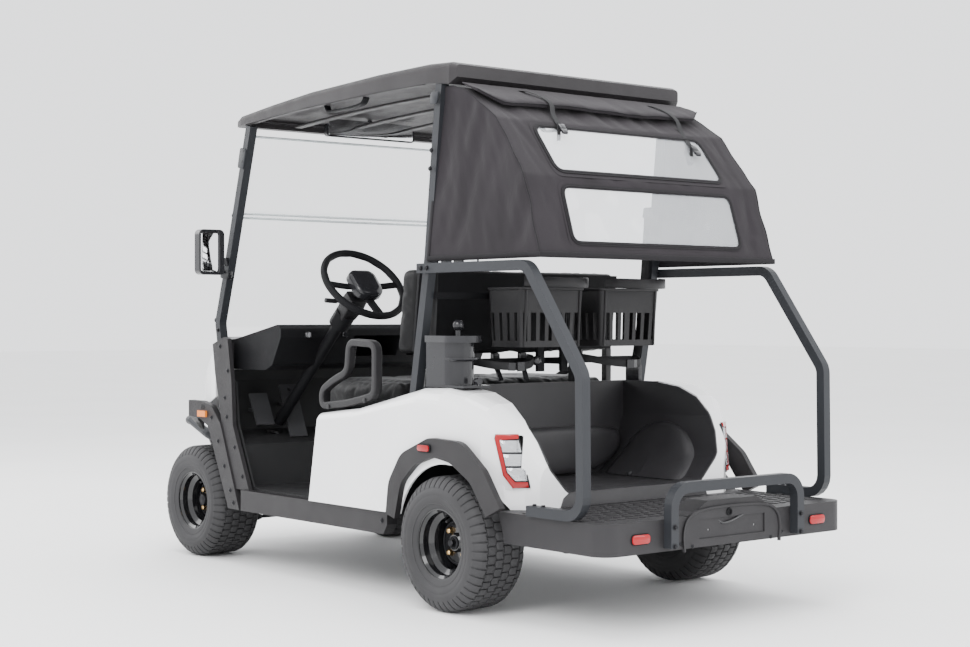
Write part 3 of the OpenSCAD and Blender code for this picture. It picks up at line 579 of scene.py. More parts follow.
def new_object(name: str, verts: Sequence[Vector], faces: Sequence[tuple[int, ...]]) -> bpy.types.Object:
    """Make an object from points in millimetres.

    Args:
        name: the object's name.
        verts: its points.
        faces: its faces, by point.

    Returns:
        The object, in the scene.
    """
    mesh = bpy.data.meshes.new(name)
    mesh.from_pydata([p / 1000 for p in verts], [], faces)
    mesh.update()
    obj = bpy.data.objects.new(name, mesh)
    bpy.context.scene.collection.objects.link(obj)
    return obj


def dress(obj: bpy.types.Object, finish: Look, slot: str, body: str) -> bpy.types.Object:
    """Give an object its only finish and let it ride on its body.

    Args:
        obj: the object.
        finish: its finish.
        slot: the record's material slot that it stands for; not used.
        body: the CAD body that it moves with.

    Returns:
        The same object.
    """
    obj.data.materials.clear()
    obj.data.materials.append(finish.build())
    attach(obj, body)
    LOG.info("%s: %d faces", obj.name, len(obj.data.polygons))
    return obj


def clean(obj: bpy.types.Object, angle: float) -> None:
    """Merge doubled points, turn the faces outward and set smooth shading with sharp edges.

    Args:
        obj: the object.
        angle: edges sharper than this, in degrees, stay sharp.
    """
    work = bmesh.new()
    work.from_mesh(obj.data)
    bmesh.ops.remove_doubles(work, verts=work.verts, dist=1e-6)
    bmesh.ops.recalc_face_normals(work, faces=work.faces)
    limit = math.radians(angle)
    for face in work.faces:
        face.smooth = True
    for edge in work.edges:
        edge.smooth = len(edge.link_faces) == 2 and edge.calc_face_angle(0.0) < limit
    work.to_mesh(obj.data)
    work.free()


def refine(obj: bpy.types.Object, levels: int) -> None:
    """Apply subdivision to an object, a number of times."""
    modifier = obj.modifiers.new("subdivision", "SUBSURF")
    modifier.levels = modifier.render_levels = levels
    apply_modifiers(obj)


def apply_modifiers(obj: bpy.types.Object) -> None:
    """Replace an object's mesh with what its modifiers make of it."""
    graph = bpy.context.evaluated_depsgraph_get()
    graph.update()
    mesh = bpy.data.meshes.new_from_object(obj.evaluated_get(graph))
    obj.modifiers.clear()
    obj.data = mesh


# ---------------------------------------------------------------------------
# Studio
# ---------------------------------------------------------------------------
@dataclass
class Studio:
    """The floor, the soft lights and the camera."""

    lens: float = 63.34
    place: Point = (-4.9994, 3.9907, 0.9495)
    heading: float = -39.6
    pitch: float = -0.2

    def build(self) -> None:
        """Make everything that isn't the cart."""
        scene = bpy.context.scene
        scene.render.resolution_x, scene.render.resolution_y = 970, 647
        self.floor()
        self.light("key", (-3.2, 5.4, 5.2), (0.0, 0.0, 0.8), 4.0, 420.0)
        self.light("fill", (-6.5, -2.5, 3.4), (0.0, 0.0, 0.7), 4.5, 200.0)
        self.light("top", (0.3, 0.0, 6.0), (0.0, 0.0, 0.0), 5.0, 320.0)
        self.light("front", (5.5, 2.5, 3.5), (0.0, 0.0, 0.8), 3.5, 150.0)
        self.camera()

    def floor(self) -> None:
        """Lay a pale floor under a pale sky."""
        work = bmesh.new()
        bmesh.ops.create_grid(work, x_segments=2, y_segments=2, size=40.0)
        mesh = bpy.data.meshes.new("floor")
        work.to_mesh(mesh)
        work.free()
        floor = bpy.data.objects.new("floor", mesh)
        bpy.context.scene.collection.objects.link(floor)
        nodes = Nodes("pale_floor")
        tint = nodes.ramp(nodes.noise(0.8), [(0.3, (0.9, 0.9, 0.895)), (0.7, (0.93, 0.93, 0.925))])
        nodes.link(tint, nodes.shader, "Base Color")
        nodes.set(Roughness=0.7)
        mesh.materials.append(nodes.material)
        floor.location.z = -0.0005
        world = bpy.data.worlds.new("sky")
        world.use_nodes = True
        world.node_tree.nodes["Background"].inputs["Color"].default_value = (0.97, 0.98, 1.0, 1.0)
        world.node_tree.nodes["Background"].inputs["Strength"].default_value = 2.1
        bpy.context.scene.world = world

    def light(self, name: str, place: Point, target: Point, size: float, power: float) -> None:
        """Hang a square soft light.

        Args:
            name: its name.
            place: where it is.
            target: what it faces.
            size: the length of its side.
            power: its power in watts.
        """
        data = bpy.data.lights.new(name, "AREA")
        data.size, data.energy = size, power
        lamp = bpy.data.objects.new(name, data)
        lamp.location = place
        lamp.rotation_euler = (Vector(target) - Vector(place)).to_track_quat("-Z", "Y").to_euler()
        bpy.context.scene.collection.objects.link(lamp)

    def camera(self) -> None:
        """Set the camera behind and to the left of the cart, near half its height."""
        data = bpy.data.cameras.new("camera")
        data.lens, data.sensor_width = self.lens, 36.0
        data.clip_end = 200.0
        camera = bpy.data.objects.new("camera", data)
        turn, tip = math.radians(self.heading), math.radians(self.pitch)
        forward = v(math.cos(turn) * math.cos(tip), math.sin(turn) * math.cos(tip), math.sin(tip))
        camera.location = self.place
        camera.rotation_euler = forward.to_track_quat("-Z", "Y").to_euler()
        bpy.context.scene.collection.objects.link(camera)
        bpy.context.scene.camera = camera


# ---------------------------------------------------------------------------
# Carried-over CAD nodes
# ---------------------------------------------------------------------------
@dataclass
class Carried:
    """The CAD nodes that show as they are, each with its finish."""

    finishes: dict[str, Look]

    def dress(self, nodes: dict[str, bpy.types.Object]) -> None:
        """Give every node its finish.

        Args:
            nodes: the frame's node objects by name.
        """
        for name, node in nodes.items():
            finish = self.finishes.get(name, TRIM)
            node.data.materials.clear()
            node.data.materials.append(finish.build())
        LOG.info("dressed %d nodes", len(nodes))


CARRIED = Carried({
    "chassis_frame": CHASSIS, "battery_pack": INNER, "rear_axle": CHASSIS, "front_axle": CHASSIS,
    "leaf_springs": CHASSIS, "knuckle_left": CHASSIS, "knuckle_right": CHASSIS, "tie_rod": CHASSIS,
    "floor_pan": FLOOR_MAT, "front_cowl": WHITE, "front_fascia": TRIM, "front_flares": TRIM, "door_trims": TRIM,
    "dashboard": INNER, "rocker_panels": TRIM, "seat_base": INNER, "rear_body": WHITE, "rear_flares": TRIM,
    "bag_well": WELL, "rear_deck": DECK, "deck_guard_bar": POST, "front_bumper_bar": POST, "canopy_posts": POST,
    "cover_side_tubes": POST, "roof": ROOF, "windshield": ACRYLIC, "club_cover": COVER, "cover_windows": PANE,
    "steering_column": INNER, "steering_wheel": INNER, "pedals": PEDAL, "seat_cushion": VINYL, "seat_back": VINYL,
    "seat_back_shell": INNER, "hip_restraints": POST, "bag_rack": INNER, "sweater_baskets": INNER,
    "ball_washer": GLOSS, "headlamps": LAMP_GLASS, "marker_lamps": AMBER, "tail_lamps": RED,
    "side_mirrors": GLOSS, "cabin_mirror": GLOSS,
    **{f"tyre_{end}_{side}": RUBBER for end in ("front", "rear") for side in ("left", "right")},
    **{f"rim_{end}_{side}": RIM for end in ("front", "rear") for side in ("left", "right")},
})


# ---------------------------------------------------------------------------
# Wheels
# ---------------------------------------------------------------------------
@dataclass
class Tyre:
    """A low-pressure turf tyre with rows of zig-zag tread blocks, in the wheel's own frame."""

    radius: float = 220.0
    pitches: int = 46
    rows: tuple[Flat, ...] = ((-104.0, -66.0), (-63.0, -33.0), (-30.0, -1.5), (1.5, 30.0), (33.0, 63.0), (66.0, 104.0))
    tread: float = 5.5

    def crown(self, y: float) -> float:
        """The carcass radius under the tread.

        Args:
            y: distance from the middle of the tread.

        Returns:
            The radius.
        """
        edge = max(0.0, abs(y) - 70.0) / 34.0
        return self.radius - self.tread - 0.7 - 3.0 * (y / 100) ** 2 - 30.0 * edge ** 2.1

    def carcass(self) -> list[Flat]:
        """The closed profile (radius, across) of the rubber without its blocks."""
        outer = [(self.crown(y), y) for y in (-104, -98, -90, -80, -68, -50, -25, 0, 25, 50, 68, 80, 90, 98, 104)]
        wall = [(172, 107.2), (160, 107.6), (159, 107.0), (158, 107.5), (146, 105.0), (136, 101.0), (135, 101.8),
                (131, 101.2), (130, 99.0), (122, 95.5), (116, 93.5), (113.8, 91.0)]
        inner = [(114.6, 80.0), (128, 84.0), (160, 96.0), (190, 84.0)]
        right, back = ([(r, -y) for r, y in reversed(part)] for part in (wall, inner))
        return right + outer + wall + inner + back

    def block(self, piece: Piece, centre: Vector, row: int, turn: float) -> None:
        """Add one tread block.

        Args:
            piece: the tyre's piece.
            centre: the wheel's centre.
            row: which row of blocks.
            turn: the block's first angle.
        """
        low, high = self.rows[row]
        step = math.tau / self.pitches
        zig = 4.2
        spans = [0.0, 0.28, 0.56, 0.84]
        shift = [0.0, zig, zig, 0.0] if row % 2 else [zig, 0.0, 0.0, zig]
        outer_row = row in (0, len(self.rows) - 1)
        across = [0.0, 0.35, 0.7, 1.0] if outer_row else [0.0, 0.5, 1.0]
        levels = []
        for lift, draw in ((-2.0, 0.0), (self.tread - 0.9, 0.3), (self.tread, 1.3)):
            grid = []
            for i, span in enumerate(spans):
                row_points = []
                for part in across:
                    start = low if row == 0 else low + shift[i]
                    end = high if row == len(self.rows) - 1 else high + shift[i]
                    y = start + draw + (end - start - 2 * draw) * part
                    inset = draw / self.radius * (1 if i == 0 else -1 if i == len(spans) - 1 else 0)
                    angle = turn + span * step + inset
                    r = self.crown(y) + lift
                    row_points.append(centre + v(math.sin(angle) * r, y, math.cos(angle) * r))
                grid.append(row_points)
            levels.append(grid)
        n, m = len(spans), len(across)
        loop = [(0, j) for j in range(m)] + [(i, m - 1) for i in range(1, n)] + [(n - 1, j)
                                                                                 for j in range(m - 2, -1, -1)] \
            + [(i, 0) for i in range(n - 2, 0, -1)]
        piece.rings([[grid[i][j] for i, j in loop] for grid in levels], cap=False)
        base = len(piece.verts)
        piece.verts.extend(point for line in levels[-1] for point in line)
        for i in range(n - 1):
            for j in range(m - 1):
                a = base + i * m + j
                piece.faces.append((a, a + 1, a + m + 1, a + m))

    def build(self, name: str, body: str, centre: Vector) -> bpy.types.Object:
        """Make the tyre.

        Args:
            name: the piece's name.
            body: the wheel's body.
            centre: the wheel's centre.

        Returns:
            The tyre.
        """
        piece = Piece(name, RUBBER, "tyre", body)
        piece.turned(self.carcass(), centre, v(0, 1, 0), 92, close=True)
        for row in range(len(self.rows)):
            for k in range(self.pitches):
                self.block(piece, centre, row, math.tau * (k + 0.5 * (row % 2)) / self.pitches)
        for side in (-1, 1):
            for k in range(60):
                angle = math.tau * k / 60
                spoke = v(math.sin(angle), 0, math.cos(angle))
                piece.band([centre + spoke * 161 + v(0, side * 106.8, 0), centre + spoke * 171 + v(0, side * 106.6, 0)],
                           v(0, 1, 0), 1.2, 2.2)
        return piece.build(40)


@dataclass
class Rim:
    """What the pressed rim carries: lug nuts, studs, a grease cap, a valve and a raised ring round the hub."""

    dish: float = 14.0

    def build(self, name: str, body: str, centre: Vector, out: float, axle_cap: bool) -> None:
        """Add the nuts, the cap and the valve.

        Args:
            name: the start of the pieces' names.
            body: the wheel's body.
            centre: the wheel's centre.
            out: the way outwards along Y, 1 or -1.
            axle_cap: whether the hub ends in a round grease cap.
        """
        axis = v(0, out, 0)
        nuts = Piece(f"{name}_nuts", BRASS, "rim_paint", body)
        for k in range(4):
            angle = math.tau * (k + 0.5) / 4
            at = centre + v(math.sin(angle) * 50.8, out * self.dish, math.cos(angle) * 50.8)
            nuts.turned([(0.01, -4), (13, -4), (13, 1), (12, 3), (10, 8)], at, axis, 6)
            nuts.turned([(10, 7.5), (9.5, 12), (6, 15), (0.01, 15.5)], at, axis, 18)
        nuts.build(30)
        cap = Piece(f"{name}_hub", BOLT, "rim_paint", body)
        if axle_cap:
            cap.turned([(0.01, 10), (25.5, 14), (25.5, 30), (22, 36), (12, 40), (0.01, 41)], centre + axis * self.dish,
                       axis, 36)
        else:
            cap.turned([(0.01, 10), (22, 14), (22, 19), (16, 21), (15, 24), (0.01, 24)], centre + axis * self.dish,
                       axis, 36)
            cap.turned([(13, 23), (13, 32), (11, 34), (0.01, 34)], centre + axis * self.dish, axis, 6)
        cap.turned([(74, -1), (74, 1.6), (71, 2.6), (68, 1.6), (68, -1)], centre + axis * (self.dish + 1), axis, 64,
                   close=True)
        cap.build(35)
        valve = Piece(f"{name}_valve", RUBBER, "tyre", body)
        spoke = v(math.sin(0.4), 0, math.cos(0.4))
        valve.turned([(0.01, -2), (6, -2), (5.4, 8), (4, 12), (3.6, 30), (4.6, 31), (4.6, 42), (3.4, 43.5),
                      (0.01, 43.5)],
                     centre + spoke * 90 + axis * 2, (axis * 0.9 - spoke * 0.43), 18)
        valve.build(40)


@dataclass
class Wheels:
    """All four wheels."""

    tyre: Tyre
    rim: Rim

    def build(self) -> None:
        """Dress each wheel where its CAD tyre is."""
        for end in ("front", "rear"):
            for side, out in (("left", 1), ("right", -1)):
                low, high = (p * 1000 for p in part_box(f"tyre_{end}_{side}"))
                centre = (low + high) / 2
                body = f"wheel_{end}_{side}"
                tyre = self.tyre.build(f"tread_{end}_{side}", body, centre)
                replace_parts(tyre, f"tyre_{end}_{side}")
                self.rim.build(f"rim_{end}_{side}", body, centre, out, end == "front")


# ---------------------------------------------------------------------------
# Soft goods
# ---------------------------------------------------------------------------
def cloth(obj: bpy.types.Object, pins: dict[int, float], frames: int, reach: float, pressure: float = 0.0,
          slack: float = 0.0, gravity: float = 0.0, bending: float = 2.0, stiff: float = 15.0) -> None:
    """Let a mesh settle as cloth, and keep where it comes to.

    Args:
        obj: the mesh object, unmodified.
        pins: the held points and how firmly each is held.
        frames: steps of the simulation.
        reach: the furthest that any point may move, in metres.
        pressure: air pressure inside a closed mesh.
        slack: the cloth's extra length as a share.
        gravity: how much of gravity acts.
        bending: the bending stiffness.
        stiff: the stretching stiffness.
    """
    scene = bpy.context.scene
    scene.gravity = (0.0, 0.0, -9.81 * gravity)
    group = obj.vertex_groups.new(name="held")
    for index, weight in pins.items():
        group.add([index], weight, "REPLACE")
    modifier = obj.modifiers.new("cloth", "CLOTH")
    settings = modifier.settings
    settings.quality = 5
    settings.mass = 0.25
    settings.tension_stiffness = settings.compression_stiffness = settings.shear_stiffness = stiff
    settings.bending_stiffness = bending
    settings.air_damping = 2.0
    settings.shrink_min = -slack
    if pins:
        settings.vertex_group_mass = "held"
        settings.pin_stiffness = 1.0
    if pressure:
        settings.use_pressure = True
        settings.uniform_pressure_force = pressure
    modifier.collision_settings.use_collision = False
    start = [vertex.co.copy() for vertex in obj.data.vertices]
    for frame in range(1, frames + 1):
        scene.frame_set(frame)
    apply_modifiers(obj)
    for vertex, before in zip(obj.data.vertices, start):
        move = vertex.co - before
        if move.length > reach:
            vertex.co = before + move.normalized() * reach
    scene.frame_set(1)


def thicken(obj: bpy.types.Object, thickness: float) -> None:
    """Give a sheet its thickness in metres, inwards."""
    modifier = obj.modifiers.new("thickness", "SOLIDIFY")
    modifier.thickness, modifier.offset = thickness, -1.0
    apply_modifiers(obj)


@dataclass
class Window:
    """A clear window in the cover's rear: its lower and upper heights, half width and corner radius."""

    low: float
    high: float
    half: float
    radius: float

    def inside(self, y: float, z: float) -> bool:
        """Whether a point of the cover's rear lies in the window."""
        dy, dz = abs(y) - (self.half - self.radius), abs(z - (self.low + self.high) / 2) - (
            (self.high - self.low) / 2 - self.radius)
        return max(dy, dz) < self.radius and math.hypot(max(dy, 0), max(dz, 0)) < self.radius

    def corners(self, grow: float = 0.0) -> list[Flat]:
        """The window's corners as (y, z) points, moved outwards by a distance."""
        y, low, high = self.half + grow, self.low - grow, self.high + grow
        return [(-y, low), (y, low), (y, high), (-y, high)]

    def outline(self, steps: int = 8) -> list[Flat]:
        """The window's edge as (y, z) points, evenly filled in along its sides."""
        loop = rounded(self.corners(), self.radius, steps)
        out: list[Flat] = []
        for a, b in zip(loop, loop[1:] + loop[:1]):
            count = max(1, round(math.dist(a, b) / 14))
            out.extend((a[0] + (b[0] - a[0]) * k / count, a[1] + (b[1] - a[1]) * k / count) for k in range(count))
        return out


@dataclass
class ClubCover:
    """A fitted cloth cover over the clubs, with two clear windows, a rolled flap and two straps."""

    profile: tuple[Point, ...] = ((-1092, 1136, 540), (-1010, 1395, 535), (-862, 1586, 525), (-700, 1688, 520),
                                  (-640, 1705, 519), (-592, 1706, 519))
    foot: Flat = (-532, 1136)
    windows: tuple[Window, ...] = (Window(1182, 1364, 388, 34), Window(1412, 1566, 384, 34))
    levels: tuple[float, ...] = (1182, 1364, 1412, 1566)
    pitch: float = 14.0
    side_columns: int = 34
    rear_columns: tuple[int, int] = (11, 56)

    def rear(self, z: float) -> tuple[float, float]:
        """Where the cover's rear is at a height, and its half width there.

        Args:
            z: the height.

        Returns:
            The distance along the cart and the half width.
        """
        for a, b in zip(self.profile, self.profile[1:]):
            if z <= b[1]:
                t = (z - a[1]) / (b[1] - a[1])
                return a[0] + (b[0] - a[0]) * t, a[2] + (b[2] - a[2]) * t
        return self.profile[-1][0], self.profile[-1][2]

    def slope(self, z: float) -> Vector:
        """The outward direction of the cover's rear at a height."""
        (x0, _), (x1, _) = self.rear(z - 3), self.rear(z + 3)
        return v(-6, 0, x1 - x0).normalized()

    def rows(self) -> list[Point]:
        """Stations (x, z, half width) from the hem up the rear and forward under the roof."""
        stops: list[Point] = [self.profile[0]]
        for a, b in zip(self.profile, self.profile[1:]):
            cuts = [z for z in self.levels if a[1] < z < b[1]]
            for z in cuts:
                t = (z - a[1]) / (b[1] - a[1])
                stops.append((a[0] + (b[0] - a[0]) * t, z, a[2] + (b[2] - a[2]) * t))
            stops.append(b)
        out: list[Point] = []
        for a, b in zip(stops, stops[1:]):
            count = max(1, round(math.dist(a, b) / self.pitch))
            out.extend(tuple(p + (q - p) * k / count for p, q in zip(a, b)) for k in range(count))
        return out + [stops[-1]]

    def grid(self) -> list[list[Vector]]:
        """The cover as rows of points, from the left front edge round the rear to the right front edge."""
        rows = self.rows()
        inner = self.windows[0].half
        edge, middle = self.rear_columns
        out = []
        for i, (x, z, half) in enumerate(rows):
            part = i / (len(rows) - 1)
            front = v(self.foot[0] + (self.profile[-1][0] + 4 - self.foot[0]) * part, half,
                      self.foot[1] + (self.profile[-1][1] - self.foot[1]) * part)
            corner = v(x, half, z)
            line = [front.lerp(corner, k / self.side_columns) for k in range(self.side_columns)]
            line += [v(x, half + (inner - half) * k / edge, z) for k in range(edge)]
            line += [v(x, inner - 2 * inner * k / middle, z) for k in range(middle)]
            line += [v(x, -inner - (half - inner) * k / edge, z) for k in range(edge)]
            line += [v(p.x, -p.y, p.z) for p in (front.lerp(corner, k / self.side_columns)
                                                for k in range(self.side_columns, -1, -1))]
            out.append(line)
        return out

    def open_windows(self, grid: list[list[Vector]]) -> set[tuple[int, int]]:
        """Fit the grid's points to the windows' edges.

        Args:
            grid: the cover's rows, changed in place.

        Returns:
            The cells, by row and column, that are cut away.
        """
        first = self.side_columns
        last = len(grid[0]) - self.side_columns - 1
        cells = set()
        for window in self.windows:
            mine = set()
            for i in range(len(grid) - 1):
                for j in range(first, last):
                    centre = (grid[i][j] + grid[i + 1][j + 1]) / 2
                    if window.inside(centre.y, centre.z):
                        mine.add((i, j))
            outline = [Vector((y, z)) for y, z in window.outline(16)]
            for i in range(len(grid)):
                for j in range(first, last + 1):
                    around = [(i - 1, j - 1) in mine, (i - 1, j) in mine, (i, j - 1) in mine, (i, j) in mine]
                    if any(around) and not all(around):
                        here = Vector((grid[i][j].y, grid[i][j].z))
                        spot = min(outline, key=lambda q: (q - here).length)
                        grid[i][j] = v(self.rear(spot.y)[0], spot.x, spot.y)
            cells |= mine
        return cells

    def build(self) -> None:
        """Make the cloth, its windows, bindings, flap and straps."""
        self.sew()
        self.panes()
        self.flap()
        self.strap("left", v(-672, 301, 1704), v(-780, 243, 1662), v(-886, 272, 1568))
        self.strap("right", v(-672, -292, 1704), v(-792, -335, 1650), v(-913, -318, 1533))

    def creased(self, p: Vector) -> Vector:
        """A point of the cloth pushed into soft folds that hang from the roof's edge.

        Args:
            p: the point on the stretched cloth.

        Returns:
            The point, moved.
        """
        fade = max(0.0, min(1.0, (p.z - 1140) / 60, (1690 - p.z) / 60, (-536 - p.x) / 60))
        near = min([1.0] + [max(0.0, abs(p.z - (w.low + w.high) / 2) - (w.high - w.low) / 2) / 40 for w in self.windows
                            if abs(p.y) < w.half + 24])
        along = p.x if abs(p.y) > 470 else p.y
        fold = (noise.noise(v(along / 62 + p.z / 210, p.z / 260, 9)) * 9
                + noise.noise(v(along / 27 - p.z / 90, p.z / 120, 4)) * 3.5)
        out = v(0, math.copysign(1, p.y), 0) if abs(p.y) > 470 else self.slope(min(p.z, 1700))
        return p + out * (fold * fade * near - 2.0 * fade)

    def sew(self) -> None:
        """Make the cloth, let it settle, and add its seams, bindings and hems."""
        grid = self.grid()
        cells = self.open_windows(grid)
        wide = len(grid[0])
        verts = [self.creased(p) for line in grid for p in line]
        quads = [(i * wide + j, (i + 1) * wide + j, (i + 1) * wide + j + 1, i * wide + j + 1)
                 for i in range(len(grid) - 1) for j in range(wide - 1) if (i, j) not in cells]
        used = sorted({k for quad in quads for k in quad})
        index = {k: n for n, k in enumerate(used)}
        faces = [tuple(index[k] for k in quad) for quad in quads]
        obj = new_object("cover_cloth", [verts[k] for k in used], faces)
        corners = (self.side_columns, wide - 1 - self.side_columns)
        pins = {}
        for k in used:
            i, j = divmod(k, wide)
            cell = [(i + a, j + b) in cells for a in (-1, 0) for b in (-1, 0)]
            if i in (0, len(grid) - 1) or j in (0, wide - 1) or any(cell) or verts[k].z > 1690:
                pins[index[k]] = 1.0
            elif j in corners:
                pins[index[k]] = 0.7
        cloth(obj, pins, 26, 0.016, slack=0.022, gravity=0.35, bending=0.6, stiff=22.0)
        for k in used:
            i, j = divmod(k, wide)
            grid[i][j] = obj.data.vertices[index[k]].co * 1000
        clean(obj, 60)
        thicken(obj, 0.0016)
        refine(obj, 1)
        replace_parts(dress(obj, COVER, "cover_cloth", "cart_body"), "club_cover")
        binding = Piece("cover_binding", BINDING, "cover_cloth")
        for j in corners:
            binding.tube([grid[i][j] + v(2.0, -2.2 if j == corners[0] else 2.2, 0) for i in range(len(grid))], 2.6, 8)
        for j in (0, wide - 1):
            binding.band([grid[i][j] for i in range(len(grid))], v(1, 0, 0), 16, 3.6)
        hem = [grid[0][j] + v(0, 0, 7) for j in range(wide)]
        binding.band(hem, v(0, 0, 1), 18, 4.0)
        for window in self.windows:
            edge = [v(self.rear(z)[0], y, z) + self.slope(z) * 1.2 for y, z in window.outline()]
            binding.sweep(edge, [(-7, -1.2), (7, -1.2), (7, 0.8), (-7, 0.8)], None, True)
            binding.tube([p + self.slope(p.z) * 0.8 for p in edge], 2.0, 8, True)
        strips = binding.build(50)
        facing = Piece("cover_window_facings", COVER, "cover_cloth")
        for window in self.windows:
            facing.rings([[v(self.rear(z)[0], y, z) - self.slope(z) * 0.9 for y, z in
                           rounded(window.corners(grow), window.radius, 6)] for grow in (16, 0)], cap=False)
        facing.build(60)

    def panes(self) -> None:
        """Set a rippled clear sheet in each window."""
        piece = Piece("cover_panes", PANE, "clear_vinyl")
        for window in self.windows:
            rows, columns = 14, 48
            lines = []
            for i in range(rows + 1):
                z = window.low - 5 + (window.high - window.low + 10) * i / rows
                line = []
                for j in range(columns + 1):
                    y = (window.half + 5) * (1 - 2 * j / columns)
                    fade = max(0.0,
                               min(1.0, (window.half - abs(y)) / 60, (z - window.low) / 40, (window.high - z) / 40))
                    wave = noise.noise(v(y / 130, z / 70, 3)) * 7 * fade
                    line.append(v(self.rear(z)[0], y, z) + self.slope(z) * (-1.5 + wave))
                lines.append(line)
            piece.rings(lines, loop=False)
        obj = piece.build(60)
        thicken(obj, 0.0006)
        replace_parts(obj, "cover_windows")

    def flap(self) -> None:
        """Roll the cover's spare cloth up under the roof's rear edge."""
        piece = Piece("cover_flap", COVER, "cover_cloth")
        rings = []
        count = 90
        for k in range(count + 1):
            y = 512 - 1024 * k / count
            end = min(1.0, min(k, count - k) / 6)
            sag = 8 * noise.noise(v(y / 170, 0, 1)) + 5 * math.sin(y / 90) + 10 * (1 - end)
            low = v(-800 + 0.6 * sag + 44 * (1 - end), y, 1637 + 0.8 * sag + 34 * (1 - end))
            top = v(-664, y, 1712)
            along = (low - top).normalized()
            out = v(along.z, 0, -along.x)
            out = out if out.x < 0 else -out
            length = (low - top).length
            thick = (13 + 4 * noise.noise(v(y / 60, 5, 2))) * (0.4 + 0.6 * end)
            ring = []
            for part, bulge in ((0, 0.25), (0.3, 0.35), (0.6, 0.7), (0.85, 1.0), (0.97, 0.8), (1.0, 0.3)):
                crinkle = 1.5 * noise.noise(v(y / 25, part * 4, 7))
                ring.append(top + along * length * part + out * (thick * bulge + crinkle + 6))
            for part in (1.0, 0.97, 0.85, 0.6, 0.3, 0):
                ring.append(top + along * length * part + out * (2.0 + (0.5 - part) * 1.0))
            rings.append(ring)
        piece.rings(rings)
        obj = piece.build(50, subdivide=1)
        edge = Piece("cover_flap_edge", BINDING, "cover_cloth")
        edge.tube([(ring[4] + ring[5]) / 2 + v(-1, 0, -1) for ring in rings], 2.2, 8)
        edge.build(50)

    def strap(self, name: str, top: Vector, bend: Vector, end: Vector) -> None:
        """Hang a webbing strap with its side-release buckle over the flap.

        Args:
            name: the side that it hangs on.
            top: where it leaves the roof's edge.
            bend: where it goes over the flap's lower edge.
            end: the end of its tail.
        """
        line = smooth_line([top, top.lerp(bend, 0.5) + v(-16, 0, 12), bend + v(-24, 0, -4),
                            bend.lerp(end, 0.45) + v(-8, 0, -6), end])
        piece = Piece(f"cover_strap_{name}", WEBBING, "cover_cloth")
        piece.band(line, v(0, 1, 0), 20, 1.6)
        tail = [end + v(-4, 9, 12), end + v(-9, 13, -22), end + v(-6, 11, -46)]
        piece.band(smooth_line(tail, 4), v(0, 1, 0), 16, 1.5)
        piece.build(50)
        buckle = Piece(f"cover_buckle_{name}", GLOSS, "cover_cloth")
        down = (end - line[-4]).normalized()
        across = v(0, 1, 0)
        out = down.cross(across).normalized()
        out = out if out.x < 0 else -out
        for low, high, half in ((-4, 22, 14), (24, 46, 12)):
            a, b = end + down * low + out * 3, end + down * high + out * 3
            buckle.slab([a + across * half, a - across * half, b - across * half * 0.86, b + across * half * 0.86],
                        out * 8, 2.0)
        for side in (-1, 1):
            a, b = end + down * 20 + across * side * 9 + out * 4, end + down * 34 + across * side * 12 + out * 4
            buckle.slab([a, a + across * side * 4, b + across * side * 3, b], out * 6, 1.0)
        buckle.band([end + down * -7 + across * 13 + out * 4, end + down * -7 - across * 13 + out * 4], down, 5, 5)
        buckle.build(35)


@dataclass
class SeatPad:
    """A stuffed vinyl seat pad, swollen by cloth simulation, with its seams."""

    name: str
    node: str
    body: str
    seams: tuple[float, ...] = (0.0, 235.0, 440.0)
    swell: float = 4.0
    clip_z: float = 0.0

    def build(self, nodes: dict[str, bpy.types.Object]) -> None:
        """Make the pad over its CAD node.

        Args:
            nodes: the frame's node objects by name.
        """
        obj = bpy.data.objects.new(self.name, nodes[self.node].data.copy())
        bpy.context.scene.collection.objects.link(obj)
        if self.clip_z:
            self.keep_above(obj, self.clip_z / 1000)
        remesh = obj.modifiers.new("remesh", "REMESH")
        remesh.mode, remesh.voxel_size = "VOXEL", 0.0095
        apply_modifiers(obj)
        low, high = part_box(self.node)
        middle = (low + high) / 2
        back = (high.z - low.z) > (high.x - low.x)
        lean = (high.x - low.x) * 0.5
        pins = {}
        for vertex in obj.data.vertices:
            p = vertex.co
            if (back and p.x < middle.x - lean * 0.45) or (not back and p.z < low.z + 0.035):
                pins[vertex.index] = 1.0
            elif any(abs(abs(p.y - middle.y) - seam / 1000) < 0.006 for seam in self.seams):
                pins[vertex.index] = 0.9
        start = [vertex.co.copy() for vertex in obj.data.vertices]
        cloth(obj, pins, 16, 0.009, pressure=self.swell, slack=0.02, bending=0.4, stiff=10.0)
        for vertex, before in zip(obj.data.vertices, start):
            deep = min((abs(abs(before.y - middle.y) - seam / 1000) for seam in self.seams), default=1.0)
            if vertex.index not in pins or pins[vertex.index] < 1:
                vertex.co -= vertex.normal * 0.004 * max(0.0, 1 - deep / 0.012)
        refine(obj, 1)
        clean(obj, 180)
        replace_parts(dress(obj, VINYL, "seat_vinyl", self.body), self.node)

    @staticmethod
    def keep_above(obj: bpy.types.Object, height: float) -> None:
        """Drop the loose parts of a mesh that lie below a height.

        Args:
            obj: the object.
            height: the height in metres.
        """
        work = bmesh.new()
        work.from_mesh(obj.data)
        bmesh.ops.remove_doubles(work, verts=work.verts, dist=1e-6)
        seen: set[bmesh.types.BMVert] = set()
        for start in list(work.verts):
            if start in seen:
                continue
            island, queue = [], [start]
            seen.add(start)
            while queue:
                vert = queue.pop()
                island.append(vert)
                for edge in vert.link_edges:
                    other = edge.other_vert(vert)
                    if other not in seen:
                        seen.add(other)
                        queue.append(other)
            if max(vert.co.z for vert in island) < height:
                bmesh.ops.delete(work, geom=island, context="VERTS")
        work.to_mesh(obj.data)
        work.free()


